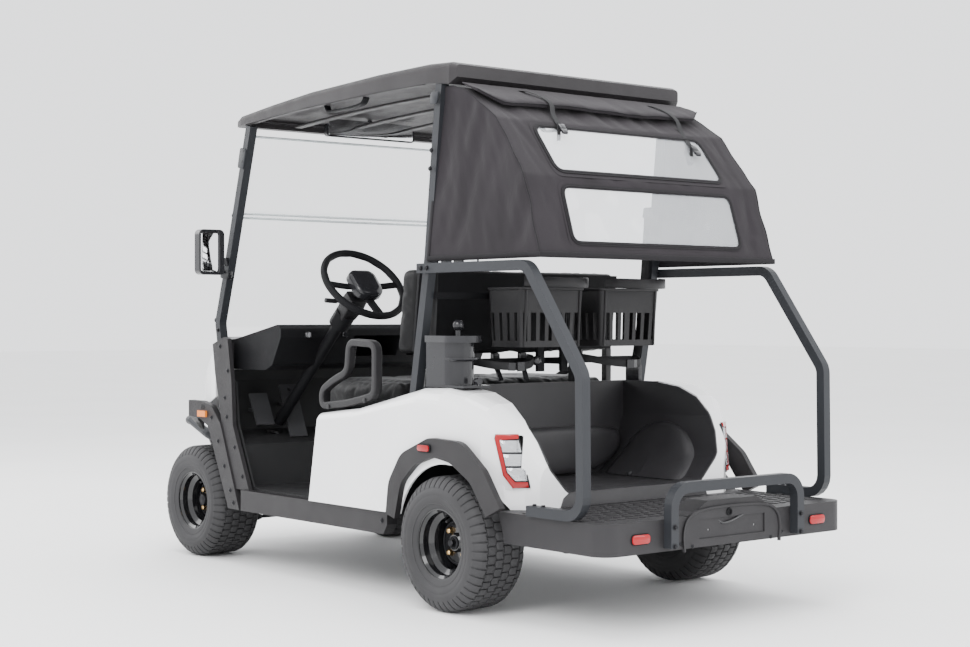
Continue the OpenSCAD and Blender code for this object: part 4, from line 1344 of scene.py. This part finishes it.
# ---------------------------------------------------------------------------
# Body
# ---------------------------------------------------------------------------
class Side(Enum):
    """Which side of the cart a piece is on, with the sign of its Y."""

    LEFT = 1
    RIGHT = -1

    @property
    def word(self) -> str:
        """The side's name in a piece's name."""
        return self.name.lower()


@dataclass
class FlareTrims:
    """Push fasteners on the door trims, the flares and the rockers, and black plates on the flares as painted shade in
    their slot openings.
    """

    door: tuple[Flat, ...] = ((757, 838), (700, 744), (722, 640), (708, 566), (650, 452), (594, 344))
    flare: tuple[Flat, ...] = ((812, 560), (762, 470), (716, 376), (672, 286), (650, 240))

    def build(self) -> None:
        """Set the fasteners on both sides."""
        door_y, flare_y = (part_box(node)[1].y * 1000 for node in ("door_trims", "front_flares"))
        for side in Side:
            axis = v(0, side.value, 0)
            piece = Piece(f"trim_fasteners_{side.word}", BOLT, "grey_trim")
            for spots, y in ((self.door, door_y), (self.flare, flare_y)):
                for x, z in spots:
                    piece.bolt(v(x, side.value * (y + 0.2), z), axis, 6.5, False)
            piece.bolt(v(-322, side.value * 575.4, 262), axis, 7.0, False)
            piece.build(40)
            # Black plates laid on the flare where its slots are: painted shade standing in for the dark inside of the
            # openings.
            slot_shade = Piece(f"flare_slot_shade_{side.word}", INNER, "grey_trim")
            for x in (868, 884):
                corners = [(x - 3, 590), (x + 3, 590), (x + 1, 608), (x - 5, 608)]
                slot_shade.slab([v(a, side.value * (flare_y - 0.4), b) for a, b in corners], axis * 1.0, 0.4)
            slot_shade.build(40)


@dataclass
class TailLamp:
    """A rear corner lamp: a dark red frame round three clear cells with bright reflectors."""

    frame: tuple[Flat, ...] = ((0.34, -0.02), (0.92, 0.0), (0.92, 0.09), (0.46, 0.09), (0.2, 0.27), (0.12, 0.9),
                               (0.86, 0.92), (0.9, 1.0), (0.02, 1.0), (-0.04, 0.92), (0.06, 0.22))
    surround: tuple[Flat, ...] = ((-0.3, -0.06), (0.36, -0.06), (0.1, 0.24), (0.0, 0.8), (-0.14, 0.8))
    back: tuple[Flat, ...] = ((0.34, -0.02), (0.98, -0.02), (0.98, 0.1), (0.95, 0.6), (0.9, 1.0), (0.02, 1.0),
                              (-0.04, 0.92), (0.06, 0.22))
    cells: tuple[tuple[Flat, ...], ...] = (
        ((0.48, 0.12), (0.9, 0.12), (0.93, 0.36), (0.23, 0.36), (0.24, 0.28)),
        ((0.22, 0.4), (0.93, 0.4), (0.9, 0.62), (0.18, 0.62)),
        ((0.17, 0.66), (0.88, 0.66), (0.84, 0.88), (0.15, 0.88)))

    def place(self, side: Side, u: float, w: float, out: float) -> Vector:
        """A point on the lamp's face.

        Args:
            side: the side of the cart.
            u: across the face, from its outer edge to its inner one.
            w: up the face.
            out: how far it stands out.

        Returns:
            The point.
        """
        outer = v(-888.5, 516, 415).lerp(v(-866, 530, 581), w)
        inner = v(-947, 450, 415).lerp(v(-911, 460, 581), w)
        flat = outer - inner
        point = outer.lerp(inner, u) + v(-flat.y, flat.x, 0).normalized() * (out + 5.0 * (1 - (2 * u - 1) ** 2))
        return v(point.x, point.y * side.value, point.z)

    def plate(self, piece: Piece, side: Side, outline: Sequence[Flat], foot: float, height: float, ease: float) -> Ring:
        """Raise a plate from the lamp's face.

        Args:
            piece: the piece that takes it.
            side: the side of the cart.
            outline: its edge, across and up the face.
            foot: how far its foot stands out.
            height: its thickness.
            ease: how far its top edge is drawn in.

        Returns:
            The edge of its foot.
        """
        loop = [self.place(side, u, w, foot) for u, w in outline]
        piece.slab(loop, self.place(side, 0, 0, height) - self.place(side, 0, 0, 0), ease)
        return loop

    def build(self) -> None:
        """Make both lamps and the markers on the flares."""
        for side in Side:
            for name, finish, slot, outline, foot, height, ease in (
                    ("frame", RED, "red_lens", self.frame, 3.0, 5, 1.2),
                    ("surround", WHITE, "white_panel", self.surround, -7.0, 8.0, 0.5),
                    ("back", GLOSS, "black_gloss", self.back, -9.0, 13.0, 0.5)):
                piece = Piece(f"tail_lamp_{name}_{side.word}", finish, slot)
                self.plate(piece, side, outline, foot, height, ease)
                obj = piece.build(40)
                if side is Side.LEFT and name == "frame":
                    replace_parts(obj, "tail_lamps")
            bright = Piece(f"tail_lamp_cells_{side.word}", REFLECTOR, "headlamp_lens")
            glass = Piece(f"tail_lamp_glass_{side.word}", LAMP_GLASS, "headlamp_lens")
            axis = self.place(side, 0, 0, 1) - self.place(side, 0, 0, 0)
            for cell in self.cells:
                inner = self.plate(bright, side, cell, 4.2, 1.2, 0.6)
                middle = sum(inner, Vector()) / len(inner)
                bright.turned([(9, -0.5), (8, 1.0), (3, 2.0), (0.01, 2.2)], middle, axis, 20)
                self.plate(glass, side, cell, 7.4, 1.2, 0.5)
            bright.build(40)
            glass.build(40)
        marker = Piece("flare_markers", RED, "red_lens")
        rim = Piece("flare_marker_rims", INNER, "grey_trim")
        for side in Side:
            for half, rise, lift, piece in ((35, 14, 5.5, rim), (30, 10, 9.0, marker)):
                loop = oblong(half, rise, rise * 0.9, 5)
                piece.slab([v(-600 + a, 606.5 * side.value, 525 + b) for a, b in loop], v(0, lift * side.value, 0), 1.2)
        marker.build(40)
        rim.build(40)


@dataclass
class RearDeck:
    """Reflectors, plate hardware, tabs and bolts on the rear deck and its guard bar."""

    face_x: float = -1388.0

    def build(self) -> None:
        """Dress the deck."""
        red = Piece("deck_reflectors", RED, "red_lens")
        frame = Piece("deck_reflector_rims", INNER, "grey_trim")
        for y in (404, -404):
            for half, rise, piece, lift in ((40, 17, frame, 2.5), (37, 14, red, 6.0)):
                loop = oblong(half, rise, rise * 0.98, 8)
                piece.slab([v(self.face_x - 0.2, y + a, 290 + b) for a, b in loop], v(-lift, 0, 0), 1.4)
        red.build(40)
        frame.build(40)
        self.tread()
        face = Piece("deck_face_frame", DECK, "grey_trim")
        arch = [(218, 236), (222, 290), (206, 332), (160, 356), (60, 364)]
        left = [v(self.face_x - 1, y, z) for y, z in arch]
        arch = smooth_line(left + [v(p.x, -p.y, p.z) for p in reversed(left)])
        face.sweep(arch, [(-5, -3), (5, -3), (5, 3), (3, 5), (-3, 5), (-5, 3)], v(-1, 0, 0))
        face.build(50)
        # A black ring round the deck's hole, with a flat black disc inside it that is painted shade standing in for the
        # hole's dark inside.
        hole = Piece("deck_hole_rim_and_shade", INNER, "black_interior")
        hole.turned([(0.01, 0), (8, 0), (8, 3), (12, 3), (12, 0.5), (13.5, -1)], v(self.face_x - 0.4, 16, 345),
                    v(-1, 0, 0), 28)
        hole.build(40)
        plate = Piece("plate_hardware", ZINC, "steel_frame")
        for y in (105, -105):
            plate.band([v(-1376, y + 14, 295), v(-1376, y - 14, 295)], v(0, 0, 1), 26, 2.4)
            plate.bolt(v(-1377, y, 295), v(-1, 0, 0), 5.5)
        plate.build(35)
        cord = Piece("plate_clip", GLOSS, "black_gloss")
        cord.tube(smooth_line([v(-1378, 62, 322), v(-1386, 40, 312), v(-1388, 0, 318), v(-1386, -42, 330),
                               v(-1378, -60, 326)], 5), 4.0, 10)
        cord.build(40)
        screws = Piece("guard_bolts", BOLT, "post_paint")
        for side in (1, -1):
            for z in (262, 320):
                screws.bolt(v(self.face_x - 33.0, side * 289, z), v(-1, 0, 0), 6.0)
            for y, z in ((232, 262), (180, 250)):
                screws.bolt(v(self.face_x - 0.3, side * y, z), v(-1, 0, 0), 4.5, False)
        screws.build(40)

    def tread(self) -> None:
        """Raise the blocks of the deck's tread."""
        piece = Piece("deck_tread", DECK, "grey_trim")
        for i in range(8):
            for j in range(23):
                x, y = -1306 + i * 42, -506 + j * 46 + (i % 2) * 23 - 11
                turn = math.radians(24 if (i + j) % 2 else -24)
                loop = [(-17, -5), (-11, -10), (11, -10), (17, -5), (17, 5), (11, 10), (-11, 10), (-17, 5)]
                piece.slab([v(x + a * math.sin(turn) + b * math.cos(turn), y + a * math.cos(turn) - b * math.sin(turn),
                              341.6)
                            for a, b in loop], v(0, 0, 3.2), 1.2)
        piece.build(40)


@dataclass
class Underbody:
    """Shock absorbers beside the rear axle."""

    def build(self) -> None:
        """Add what shows round the axles."""
        for side in Side:
            shock = Piece(f"shock_{side.word}", CHASSIS, "steel_frame")
            foot, head = v(-700, side.value * 300, 200), v(-640, side.value * 285, 400)
            axis = (head - foot).normalized()
            shock.turned([(0.01, 0), (9, 0), (9, 14), (19, 18), (19, 118), (16, 122), (0.01, 122)], foot, axis, 24)
            shock.turned([(0.01, 118), (8, 118), (8, 195), (13, 197), (13, 208), (0.01, 208)], foot, axis, 20)
            shock.build(40)


# ---------------------------------------------------------------------------
# Canopy
# ---------------------------------------------------------------------------
@dataclass
class Roof:
    """Ribs and hand holds on the roof and its underside."""

    def build(self) -> None:
        """Dress the roof."""
        edge = Piece("roof_drip", ROOF, "grey_trim")
        for side in (1, -1):
            line = smooth_line([v(600, side * 540, 1684), v(400, side * 546, 1697), v(146, side * 546, 1710),
                                v(-252, side * 540, 1722), v(-500, side * 530, 1725)], 8)
            edge.band([p + v(0, 0, -1) for p in line], v(0, 1, 0), 12, 5)
        for y in (-330, -110, 110, 330):
            edge.band(smooth_line([v(560, y, 1687), v(300, y, 1703), v(0, y, 1715), v(-300, y, 1721), v(-480, y, 1722)],
                                  8),
                      v(0, 1, 0), 34, 9)
        edge.build(40)
        hold = Piece("roof_handles", INNER, "black_interior")
        for side in (1, -1):
            path = smooth_line([v(-150, side * 515, 1716), v(-130, side * 515, 1697), v(-70, side * 515, 1690),
                                v(20, side * 515, 1687),
                                v(75, side * 515, 1690), v(92, side * 515, 1709)], 6)
            hold.band(path, v(0, 1, 0), 26, 8)
        hold.build(40)


@dataclass
class Windshield:
    """The clear windshield's edge trims, its fold line and its clips."""

    def build(self) -> None:
        """Add the trims and clips."""
        box = [p * 1000 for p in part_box("windshield")]
        trim = Piece("windshield_trim", Clear("acrylic_edge", (0.72, 0.78, 0.8), 0.15, 0.75), "windshield_clear")
        for z in (1352, 1336, box[1].z - 4):
            x = self.fit(z, box)
            trim.band([v(x, 536, z), v(x, -536, z)], v(0, 0, 1), 9, 13)
        trim.build(40)
        clips = Piece("windshield_clips", GLOSS, "black_gloss")
        for side in (1, -1):
            for z in (940, 1150, 1345, 1560):
                x = self.fit(z, box)
                clips.bolt(v(x + 9, side * 529, z), v(1, 0, 0.25), 7.0, False)
        clips.build(40)

    def fit(self, z: float, box: Sequence[Vector]) -> float:
        """Where the windshield is along the cart at a height.

        Args:
            z: the height.
            box: the CAD windshield's corners.

        Returns:
            The distance along the cart.
        """
        part = (z - box[0].z) / (box[1].z - box[0].z)
        return box[1].x + (box[0].x - box[1].x) * part


# ---------------------------------------------------------------------------
# Cabin
# ---------------------------------------------------------------------------
@dataclass
class SteeringWheel:
    """A padded three-spoke wheel in the steering wheel's own plane."""

    centre: Point = (168.0, 300.0, 1073.0)
    slope: float = 43.0
    radius: float = 161.0

    def at(self, turn: float, reach: float, out: float) -> Vector:
        """A point of the wheel.

        Args:
            turn: degrees round it from its top.
            reach: the distance from the axis.
            out: the distance towards the driver.

        Returns:
            The point.
        """
        slope = math.radians(self.slope)
        axis = v(-math.cos(slope), 0, math.sin(slope))
        up = v(math.sin(slope), 0, math.cos(slope))
        angle = math.radians(turn)
        return Vector(self.centre) + axis * out + (up * math.cos(angle) + v(0, 1, 0) * math.sin(angle)) * reach

    def build(self) -> None:
        """Make the rim, the spokes and the pad."""
        rim = Piece("wheel_rim", INNER, "black_gloss", "steering_wheel")
        ring = [self.at(3.75 * k, self.radius, 0) for k in range(96)]
        rings = []
        for k, point in enumerate(ring):
            out = (point - Vector(self.centre)).normalized()
            axis = (self.at(0, 0, 1) - self.at(0, 0, 0)).normalized()
            notch = 1.0 + 0.05 * math.cos(k * 0.9)
            rings.append([point + (out * math.cos(math.tau * j / 18) * 13.2 + axis * math.sin(math.tau * j / 18) * 14) *
                          (notch if 6 < j < 14 else 1.0) for j in range(18)])
        rim.rings(rings, close=True)
        obj = rim.build(60)
        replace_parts(obj, "steering_wheel")
        spokes = Piece("wheel_spokes", INNER, "black_gloss", "steering_wheel")
        for turn, wide in ((90, 30), (270, 30), (180, 40)):
            line = [self.at(turn, r, o) for r, o in ((44, -14), (80, -12), (120, -6), (156, 0))]
            side = (self.at(turn + 90, 1, 0) - self.at(0, 0, 0)).normalized()
            spokes.band(smooth_line(line, 4), side, wide, 10, 0.4)
        spokes.turned([(0.01, -22), (30, -22), (34, -14), (34, 0)], self.at(0, 0, 0),
                      self.at(0, 0, 1) - self.at(0, 0, 0), 36)
        spokes.turned([(0.01, -170), (12, -170), (12, -20), (0.01, -20)], self.at(0, 0, 0),
                      self.at(0, 0, 1) - self.at(0, 0, 0), 28)
        spokes.build(40)
        pad = Piece("wheel_pad", GLOSS, "black_gloss", "steering_wheel")
        loop = rounded([(70, -58), (70, 40), (48, 66), (-48, 66), (-70, 40), (-70, -58), (-36, -84), (36, -84)], 22, 5)
        axis = (self.at(0, 0, 1) - self.at(0, 0, 0)).normalized()
        slope = math.radians(self.slope)
        up = v(math.sin(slope), 0, math.cos(slope))
        rings = []
        for scale, out in ((0.86, -14), (1.0, -10), (1.0, 10), (0.95, 19), (0.84, 25), (0.6, 28), (0.3, 29)):
            rings.append([Vector(self.centre) + v(0, 1, 0) * a * scale * 0.86 + up * b * scale * 0.86 + axis * out
                          for a, b in loop])
        pad.rings(rings)
        pad.build(60)


@dataclass
class Belts:
    """Seat belts: reels on the posts, webbing, latch plates and buckles."""

    def build(self) -> None:
        """Make the belts on both sides."""
        for side in Side:
            s = side.value
            web = Piece(f"belt_{side.word}", WEBBING, "black_interior")
            web.band(smooth_line([v(-520, s * 498, 1330), v(-512, s * 494, 1180), v(-498, s * 490, 1000),
                                  v(-480, s * 484, 850),
                                  v(-462, s * 478, 745)], 6), v(1, 0, 0.1), 40, 1.6)
            web.build(50)
            gear = Piece(f"belt_guide_{side.word}", GLOSS, "black_gloss")
            gear.slab([v(x, s * 496, z)
                       for x, z in rounded([(-550, 1318), (-492, 1318), (-498, 1356), (-544, 1356)], 8, 4)],
                      v(0, s * 10, 0), 2)
            gear.bolt(v(-521, s * 496, 1346), v(0, -s, 0), 7.0)
            gear.slab([v(x, s * 470, z)
                       for x, z in rounded([(-498, 712), (-430, 712), (-430, 776), (-498, 776)], 8, 4)],
                      v(0, s * 18, 0), 3)
            gear.build(40)
            buckle = Piece(f"belt_buckle_{side.word}", GLOSS, "black_gloss")
            buckle.band(smooth_line([v(-338, s * 60, 724), v(-326, s * 62, 752), v(-312, s * 64, 778)], 4), v(0, 1, 0),
                        24, 4)
            buckle.slab([v(-318, s * 64 + a, 770 + b)
                         for a, b in rounded([(-17, 0), (17, 0), (15, 52), (-15, 52)], 6, 4)],
                        v(18, 0, 4), 3)
            buckle.build(40)
            press = Piece(f"belt_button_{side.word}", RED, "red_lens")
            press.slab([v(-300, s * 64 + a, 806 + b) for a, b in ((-9, 0), (9, 0), (9, 12), (-9, 12))], v(3, 0, 1), 0.8)
            press.build(40)


@dataclass
class Dash:
    """Switches, fasteners, a key, the column shroud and a grab rail on the dash."""

    def build(self) -> None:
        """Add the dash's small parts."""
        front = (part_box("dashboard")[0] * 1000).x
        small = Piece("dash_switches", GLOSS, "black_gloss")
        for y in (216, 388):
            small.turned([(0.01, -2), (13, -2), (13, 5), (10, 8), (0.01, 8)], v(front + 3, y, 884), v(-1, 0, 0), 28)
        for y in (-480, -30):
            small.bolt(v(front + 8, y, 900), v(-1, 0, 0), 5, False)
        small.build(40)
        key = Piece("dash_key", ZINC, "steel_frame")
        key.turned([(0.01, 0), (11, 0), (11, 4), (9, 5), (0.01, 5)], v(front - 3, 388, 884), v(-1, 0, 0), 24)
        key.slab([v(front - 7, 388 + a, 884 + b) for a, b in ((-1.2, -8), (1.2, -8), (1.2, 8), (-1.2, 8))],
                 v(-16, 0, 0), 1)
        key.build(40)
        shroud = Piece("column_shroud", GLOSS_GREY, "black_interior")
        axis, across = v(0.731, 0, -0.682), v(0.682, 0, 0.731)
        rings = []
        for reach, wide, tall in ((58, 30, 22), (62, 38, 28), (110, 40, 32), (160, 34, 28), (196, 24, 22),
                                  (200, 18, 16)):
            centre = v(168, 300, 1073) + axis * reach
            rings.append([centre + v(0, a, 0) + across * (b - 4) for a, b in
                          oblong(wide, tall, 12, 4)])
        shroud.rings(rings)
        root = v(168, 300, 1073) + axis * 96
        shroud.tube([root + v(0, 34, 0), root + v(4, 74, 3)], 6, 12)
        shroud.tube([root + v(4, 72, 3), root + v(8, 118, 6)], 9, 14)
        shroud.tube([root + v(0, -34, 0), root + v(0, -80, 6)], 6, 12)
        shroud.build(50)
        rail = Piece("dash_rail", INNER, "black_interior")
        rail.tube(smooth_line([v(438, -480, 908), v(414, -470, 925), v(404, -420, 938), v(402, -280, 940),
                               v(404, -140, 938),
                               v(414, -92, 925), v(438, -82, 910)], 6), 10, 16)
        rail.build(50)


# ---------------------------------------------------------------------------
# Bag gear
# ---------------------------------------------------------------------------
@dataclass
class BagGear:
    """Cradle arms, straps and knobs that hold two golf bags."""

    def build(self) -> None:
        """Make the bag holders on both sides."""
        for side in Side:
            s = side.value
            arm = Piece(f"bag_cradle_{side.word}", GLOSS_GREY, "black_interior")
            path = smooth_line([v(-757, s * 312, 1070), v(-790, s * 300, 1068), v(-835, s * 262, 1066),
                                v(-858, s * 200, 1064),
                                v(-852, s * 130, 1064), v(-812, s * 80, 1066), v(-760, s * 52, 1068)], 7)
            arm.band(path, v(0, 0, 1), 34, 5, 0.4)
            arm.build(50)
            strap = Piece(f"bag_strap_{side.word}", WEBBING, "black_interior")
            line = smooth_line([v(-548, s * 120, 812), v(-590, s * 128, 806), v(-648, s * 190, 792),
                                v(-668, s * 262, 786),
                                v(-640, s * 340, 790), v(-560, s * 386, 806), v(-545, s * 392, 812)], 7)
            strap.band(line, v(0, 0, 1), 26, 2)
            strap.build(50)
            buckle = Piece(f"bag_buckle_{side.word}", GLOSS, "black_gloss")
            buckle.band([v(-672, s * 240, 786), v(-674, s * 272, 785)], v(0, 0, 1), 32, 5)
            buckle.band([v(-668, s * 276, 785), v(-660, s * 300, 786)], v(0, 0, 1), 28, 4)
            buckle.build(40)
            knob = Piece(f"bag_knob_{side.word}", GLOSS, "black_gloss")
            knob.turned([(0.01, 0), (7, 0), (7, 14), (16, 18), (18, 26), (16, 34), (8, 38), (0.01, 38)],
                        v(-536, s * 88, 800), v(-1, 0, 0), 24)
            knob.build(40)


@dataclass
class WasherDetails:
    """The ball washer's knobs, valve, lid edge and base bolts."""

    def build(self) -> None:
        """Dress the washer."""
        low, high = (p * 1000 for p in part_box("ball_washer"))
        cx, cy = (low.x + high.x) / 2, (low.y + high.y) / 2
        piece = Piece("washer_trim", GLOSS, "black_gloss")
        loop = oblong(76, 58, 52, 8)
        piece.rings([[v(cx + a * k, cy + b * k, z) for a, b in loop]
                     for z, k in ((806, 0.86), (812, 0.96), (812.5, 0.97), (818, 0.97))])
        for a, b in ((60, 40), (-60, 40), (60, -40), (-60, -40)):
            piece.bolt(v(cx + a * 0.9, cy + b * 0.9, low.z + 8), v(0, 0, 1), 5.0)
        piece.turned([(0.01, 0), (9, 0), (9, 12), (12, 14), (12, 24), (0.01, 24)], v(low.x + 14, cy - 10, 742),
                     v(-1, 0, 0), 20)
        piece.build(40)


# ---------------------------------------------------------------------------
# Small parts
# ---------------------------------------------------------------------------
@dataclass
class Mirrors:
    """Mirror glasses, rims and clamps."""

    def build(self) -> None:
        """Dress the side mirrors and the cabin mirror."""
        for side in Side:
            s = side.value
            glass = Piece(f"mirror_glass_{side.word}", SILVER, "mirror_black")
            low, high = (p * 1000 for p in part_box("side_mirrors"))
            ys = (606, 680)
            zs = (1124, 1276)
            loop = rounded([(ys[0], zs[0]), (ys[1], zs[0]), (ys[1], zs[1]), (ys[0], zs[1])], 14, 5)
            glass.slab([v(low.x + 0.4, s * y, z) for y, z in loop], v(-1.6, 0, 0), 0.8)
            glass.build(40)
            rim = Piece(f"mirror_rim_{side.word}", GLOSS, "mirror_black")
            edge = [v(low.x - 0.5, s * y, z)
                    for y, z in rounded([(600, 1117), (686, 1117), (686, 1283), (600, 1283)], 18, 6)]
            rim.tube(edge, 3.0, 8, True)
            clamp = v(745, s * 540, 1118)
            rim.turned([(0.01, -16), (22, -16), (24, -12), (24, 12), (22, 16), (0.01, 16)], clamp, v(-0.257, 0, 0.966),
                       28)
            rim.build(40)
        low, high = (p * 1000 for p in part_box("cabin_mirror"))
        glass = Piece("cabin_mirror_glass", SILVER, "mirror_black")
        loop = rounded([(low.y + 8, 1656), (high.y - 8, 1656), (high.y - 8, high.z - 6), (low.y + 8, high.z - 6)], 8, 4)
        glass.slab([v(low.x + 0.4, y, z) for y, z in loop], v(-1.6, 0, 0), 0.8)
        glass.build(40)


@dataclass
class CanopyHardware:
    """Brackets and bolts on the posts and the cover's side tubes."""

    def build(self) -> None:
        """Add the hardware on both sides."""
        for side in Side:
            s = side.value
            piece = Piece(f"post_hardware_{side.word}", BOLT, "post_paint")
            outer = s * 546.6
            for x, z in ((-560, 1500), (-553, 1440)):
                piece.bolt(v(x, outer, z), v(0, s, 0), 6.0)
            tube = s * 568.4
            for x, z in ((-530, 1112), (-562, 1112)):
                piece.bolt(v(x, tube, z), v(0, s, 0), 6.5)
            for x in (-1080, -1120):
                piece.bolt(v(x, s * 552, 374.4), v(0, 0, 1), 6.0)
            for x, z in ((603, 1585), (612, 1545), (800, 900)):
                piece.bolt(v(x, outer, z), v(0, s, 0), 6.0)
            piece.build(40)
            bracket = Piece(f"post_bracket_{side.word}", POST, "post_paint")
            loop = rounded([(628, 1600), (585, 1588), (606, 1515), (648, 1524)], 9, 4)
            bracket.slab([v(x, s * 546.4, z) for x, z in loop], v(0, s * 5, 0), 1.5)
            loop = rounded([(-604, 1690), (-560, 1690), (-556, 1650), (-592, 1650)], 8, 4)
            bracket.slab([v(x, s * 546.4, z) for x, z in loop], v(0, s * 5, 0), 1.5)
            bracket.build(40)


@dataclass
class Baskets:
    """Two tapered open baskets with rounded slots in their walls, ribs and a rolled lip."""

    low: float = 851.0
    high: float = 1049.0
    slot: Flat = (872.0, 966.0)
    taper: float = 10.0

    def outline(self, side: int, part: float) -> list[Flat]:
        """The basket's wall in plan at a height.

        Args:
            side: 1 for the left basket, -1 for the right one.
            part: the height's share, from 0 at the floor to 1 at the lip.

        Returns:
            Points (x, y), the same number at every height.
        """
        draw = self.taper * (1 - part)
        x0, x1, y0, y1 = -752.0 + draw, -575.0 - draw * 0.4, 39.0 + draw, 321.0 - draw
        loop = rounded([(x0, y0), (x0, y1), (x1, y1), (x1, y0)], 16, 3)
        out: list[Flat] = []
        for a, b in zip(loop, loop[1:] + loop[:1]):
            count = 1 if math.dist(a, b) < 30 else 30 if abs(a[1] - b[1]) > 200 else 18
            out.extend((a[0] + (b[0] - a[0]) * k / count, (a[1] + (b[1] - a[1]) * k / count) * side)
                       for k in range(count))
        return out

    def build(self) -> None:
        """Make both baskets."""
        heights = [self.low, self.low + 8, self.slot[0] - 4, self.slot[0], self.slot[0] + 5, self.slot[1] - 5,
                   self.slot[1],
                   self.slot[1] + 8, self.high - 30, self.high - 10, self.high]
        first = None
        for side in Side:
            s = side.value
            rings = [[v(x, y, z) for x, y in self.outline(s, (z - self.low) / (self.high - self.low))] for z in heights]
            size = len(rings[0])
            cut = set()
            for j in range(size):
                a, b = rings[4][j], rings[4][(j + 1) % size]
                flat_wall = (a - b).length > 7
                run = (abs((a + b).y) / 2 - 48) if abs(a.x - b.x) < 3 else ((a + b).x / 2 + 742)
                if flat_wall and run % 37.0 > 18.5:
                    cut |= {(i, j) for i in range(3, 6)}
            piece = Piece(f"basket_{side.word}", GLOSS_GREY, "black_interior")
            piece.verts = [p for ring in rings for p in ring]
            piece.faces = [(i * size + j, i * size + (j + 1) % size, (i + 1) * size + (j + 1) % size,
                            (i + 1) * size + j)
                           for i in range(len(rings) - 1) for j in range(size) if (i, j) not in cut]
            piece.faces.append(tuple(reversed(range(size))))
            obj = piece.build(50)
            thicken(obj, 0.003)
            trim = Piece(f"basket_lip_{side.word}", GLOSS_GREY, "black_interior")
            lip = [v(x, y, self.high - 3) for x, y in self.outline(s, 1.0)]
            trim.sweep(lip, [(-4, -4), (4, -4), (4, 3), (2, 5), (-2, 5), (-4, 3)], None, True)
            for y in (60, 300):
                foot = v(-742.5, s * y, self.low + 2)
                trim.tube([foot, v(-752.5, s * y, self.high - 8)], 4.5, 10)
            trim.build(50)
            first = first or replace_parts(obj, "sweater_baskets")


@dataclass
class HipRestraint:
    """A moulded hoop beside the seat with a softened section."""

    hoop: tuple[Flat, ...] = ((70, 634), (-100, 652), (-249, 682), (-250, 858), (-96, 864), (-86, 758), (-2, 729),
                              (72, 690))

    def build(self) -> None:
        """Make both hoops."""
        for side in Side:
            s = side.value
            path = [v(x, s * 543, z) for x, z in rounded(list(self.hoop), 34, 6)]
            piece = Piece(f"hip_hoop_{side.word}", GLOSS_GREY, "black_interior")
            half, thick, ease = 16.0, 13.0, 7.0
            section = oblong(half, thick, ease, 4)
            piece.sweep(path, section, v(0, 1, 0), True)
            for x, z in ((20, 625), (-200, 655)):
                piece.turned([(0.01, 0), (9, 0), (9, 3), (7, 4), (0.01, 4)], v(x, s * 559, z + 8), v(0, s, 0), 20)
            obj = piece.build(60)
            if side is Side.LEFT:
                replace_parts(obj, "hip_restraints")


@dataclass
class BagWell:
    """The tub's sculpted step along its front wall and the humps over the wheels."""

    def build(self) -> None:
        """Add the step and the humps to the tub."""
        front = (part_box("bag_well")[1] * 1000).x - 8.4
        step = Piece("well_step", WELL, "black_interior")
        rings = []
        for y in (-384, -340, -250, 0, 250, 340, 384):
            soft = 1.0 if abs(y) < 300 else 0.85
            top = 560 if abs(y) < 300 else 548
            floor = 388 + max(0, (abs(y) - 280)) * 0.75
            rings.append([v(front + 4, y, floor - 4), v(front - 34 * soft, y, floor),
                          v(front - 40 * soft, y, floor + 40),
                          v(front - 38 * soft, y, top - 26), v(front - 28 * soft, y, top - 8), v(front - 6, y, top),
                          v(front + 4, y, top + 1)])
        step.rings(rings)
        step.build(70, subdivide=2)
        lip = Piece("well_lip", WELL, "black_interior")
        lip.slab([v(-961.6, y, z)
                  for y, z in ((338, 343), (326, 372), (300, 390), (-300, 390), (-326, 372), (-338, 343))],
                 v(-5, 0, 0), 2.0)
        lip.build(40)
        for side in Side:
            s = side.value
            hump = Piece(f"well_hump_{side.word}", WELL, "black_interior")
            rings = []
            for k, (reach, out) in enumerate(((200, 0), (196, 14), (182, 30), (150, 40), (90, 45), (0.5, 46))):
                ring = []
                for j in range(28):
                    angle = math.pi * j / 27
                    x = -690 + math.cos(angle) * reach
                    z = 388 + math.sin(angle) * reach * 0.98
                    wall = 430 - max(0.0, min(1.0, (600 - z) / 130)) * 34 - max(0.0, (470 - z)) * 0.95
                    ring.append(v(x, s * (wall - out + (10 if k == 0 else 0)), z))
                rings.append(ring)
            hump.rings(rings, loop=False)
            hump.build(70, subdivide=1)


def main() -> None:
    """Dress the cart, piece by piece."""
    logging.basicConfig(level=logging.INFO, format="%(message)s")
    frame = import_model()
    nodes = frame["nodes"]
    CARRIED.dress(nodes)
    Studio().build()
    Wheels(Tyre(), Rim()).build()
    for part in (Underbody(), FlareTrims(), TailLamp(), RearDeck(), Roof(), Windshield(), CanopyHardware(),
                 SteeringWheel(), Belts(), Dash(), BagGear(), WasherDetails(), Mirrors(), Baskets(), HipRestraint(),
                 BagWell()):
        part.build()
    ClubCover().build()
    SeatPad("seat_cushion_pad", "seat_cushion", "seat", clip_z=640.0).build(nodes)
    SeatPad("seat_back_pad", "seat_back", "cart_body", seams=(0.0, 225.0, 430.0)).build(nodes)


if __name__ == "__main__":
    main()
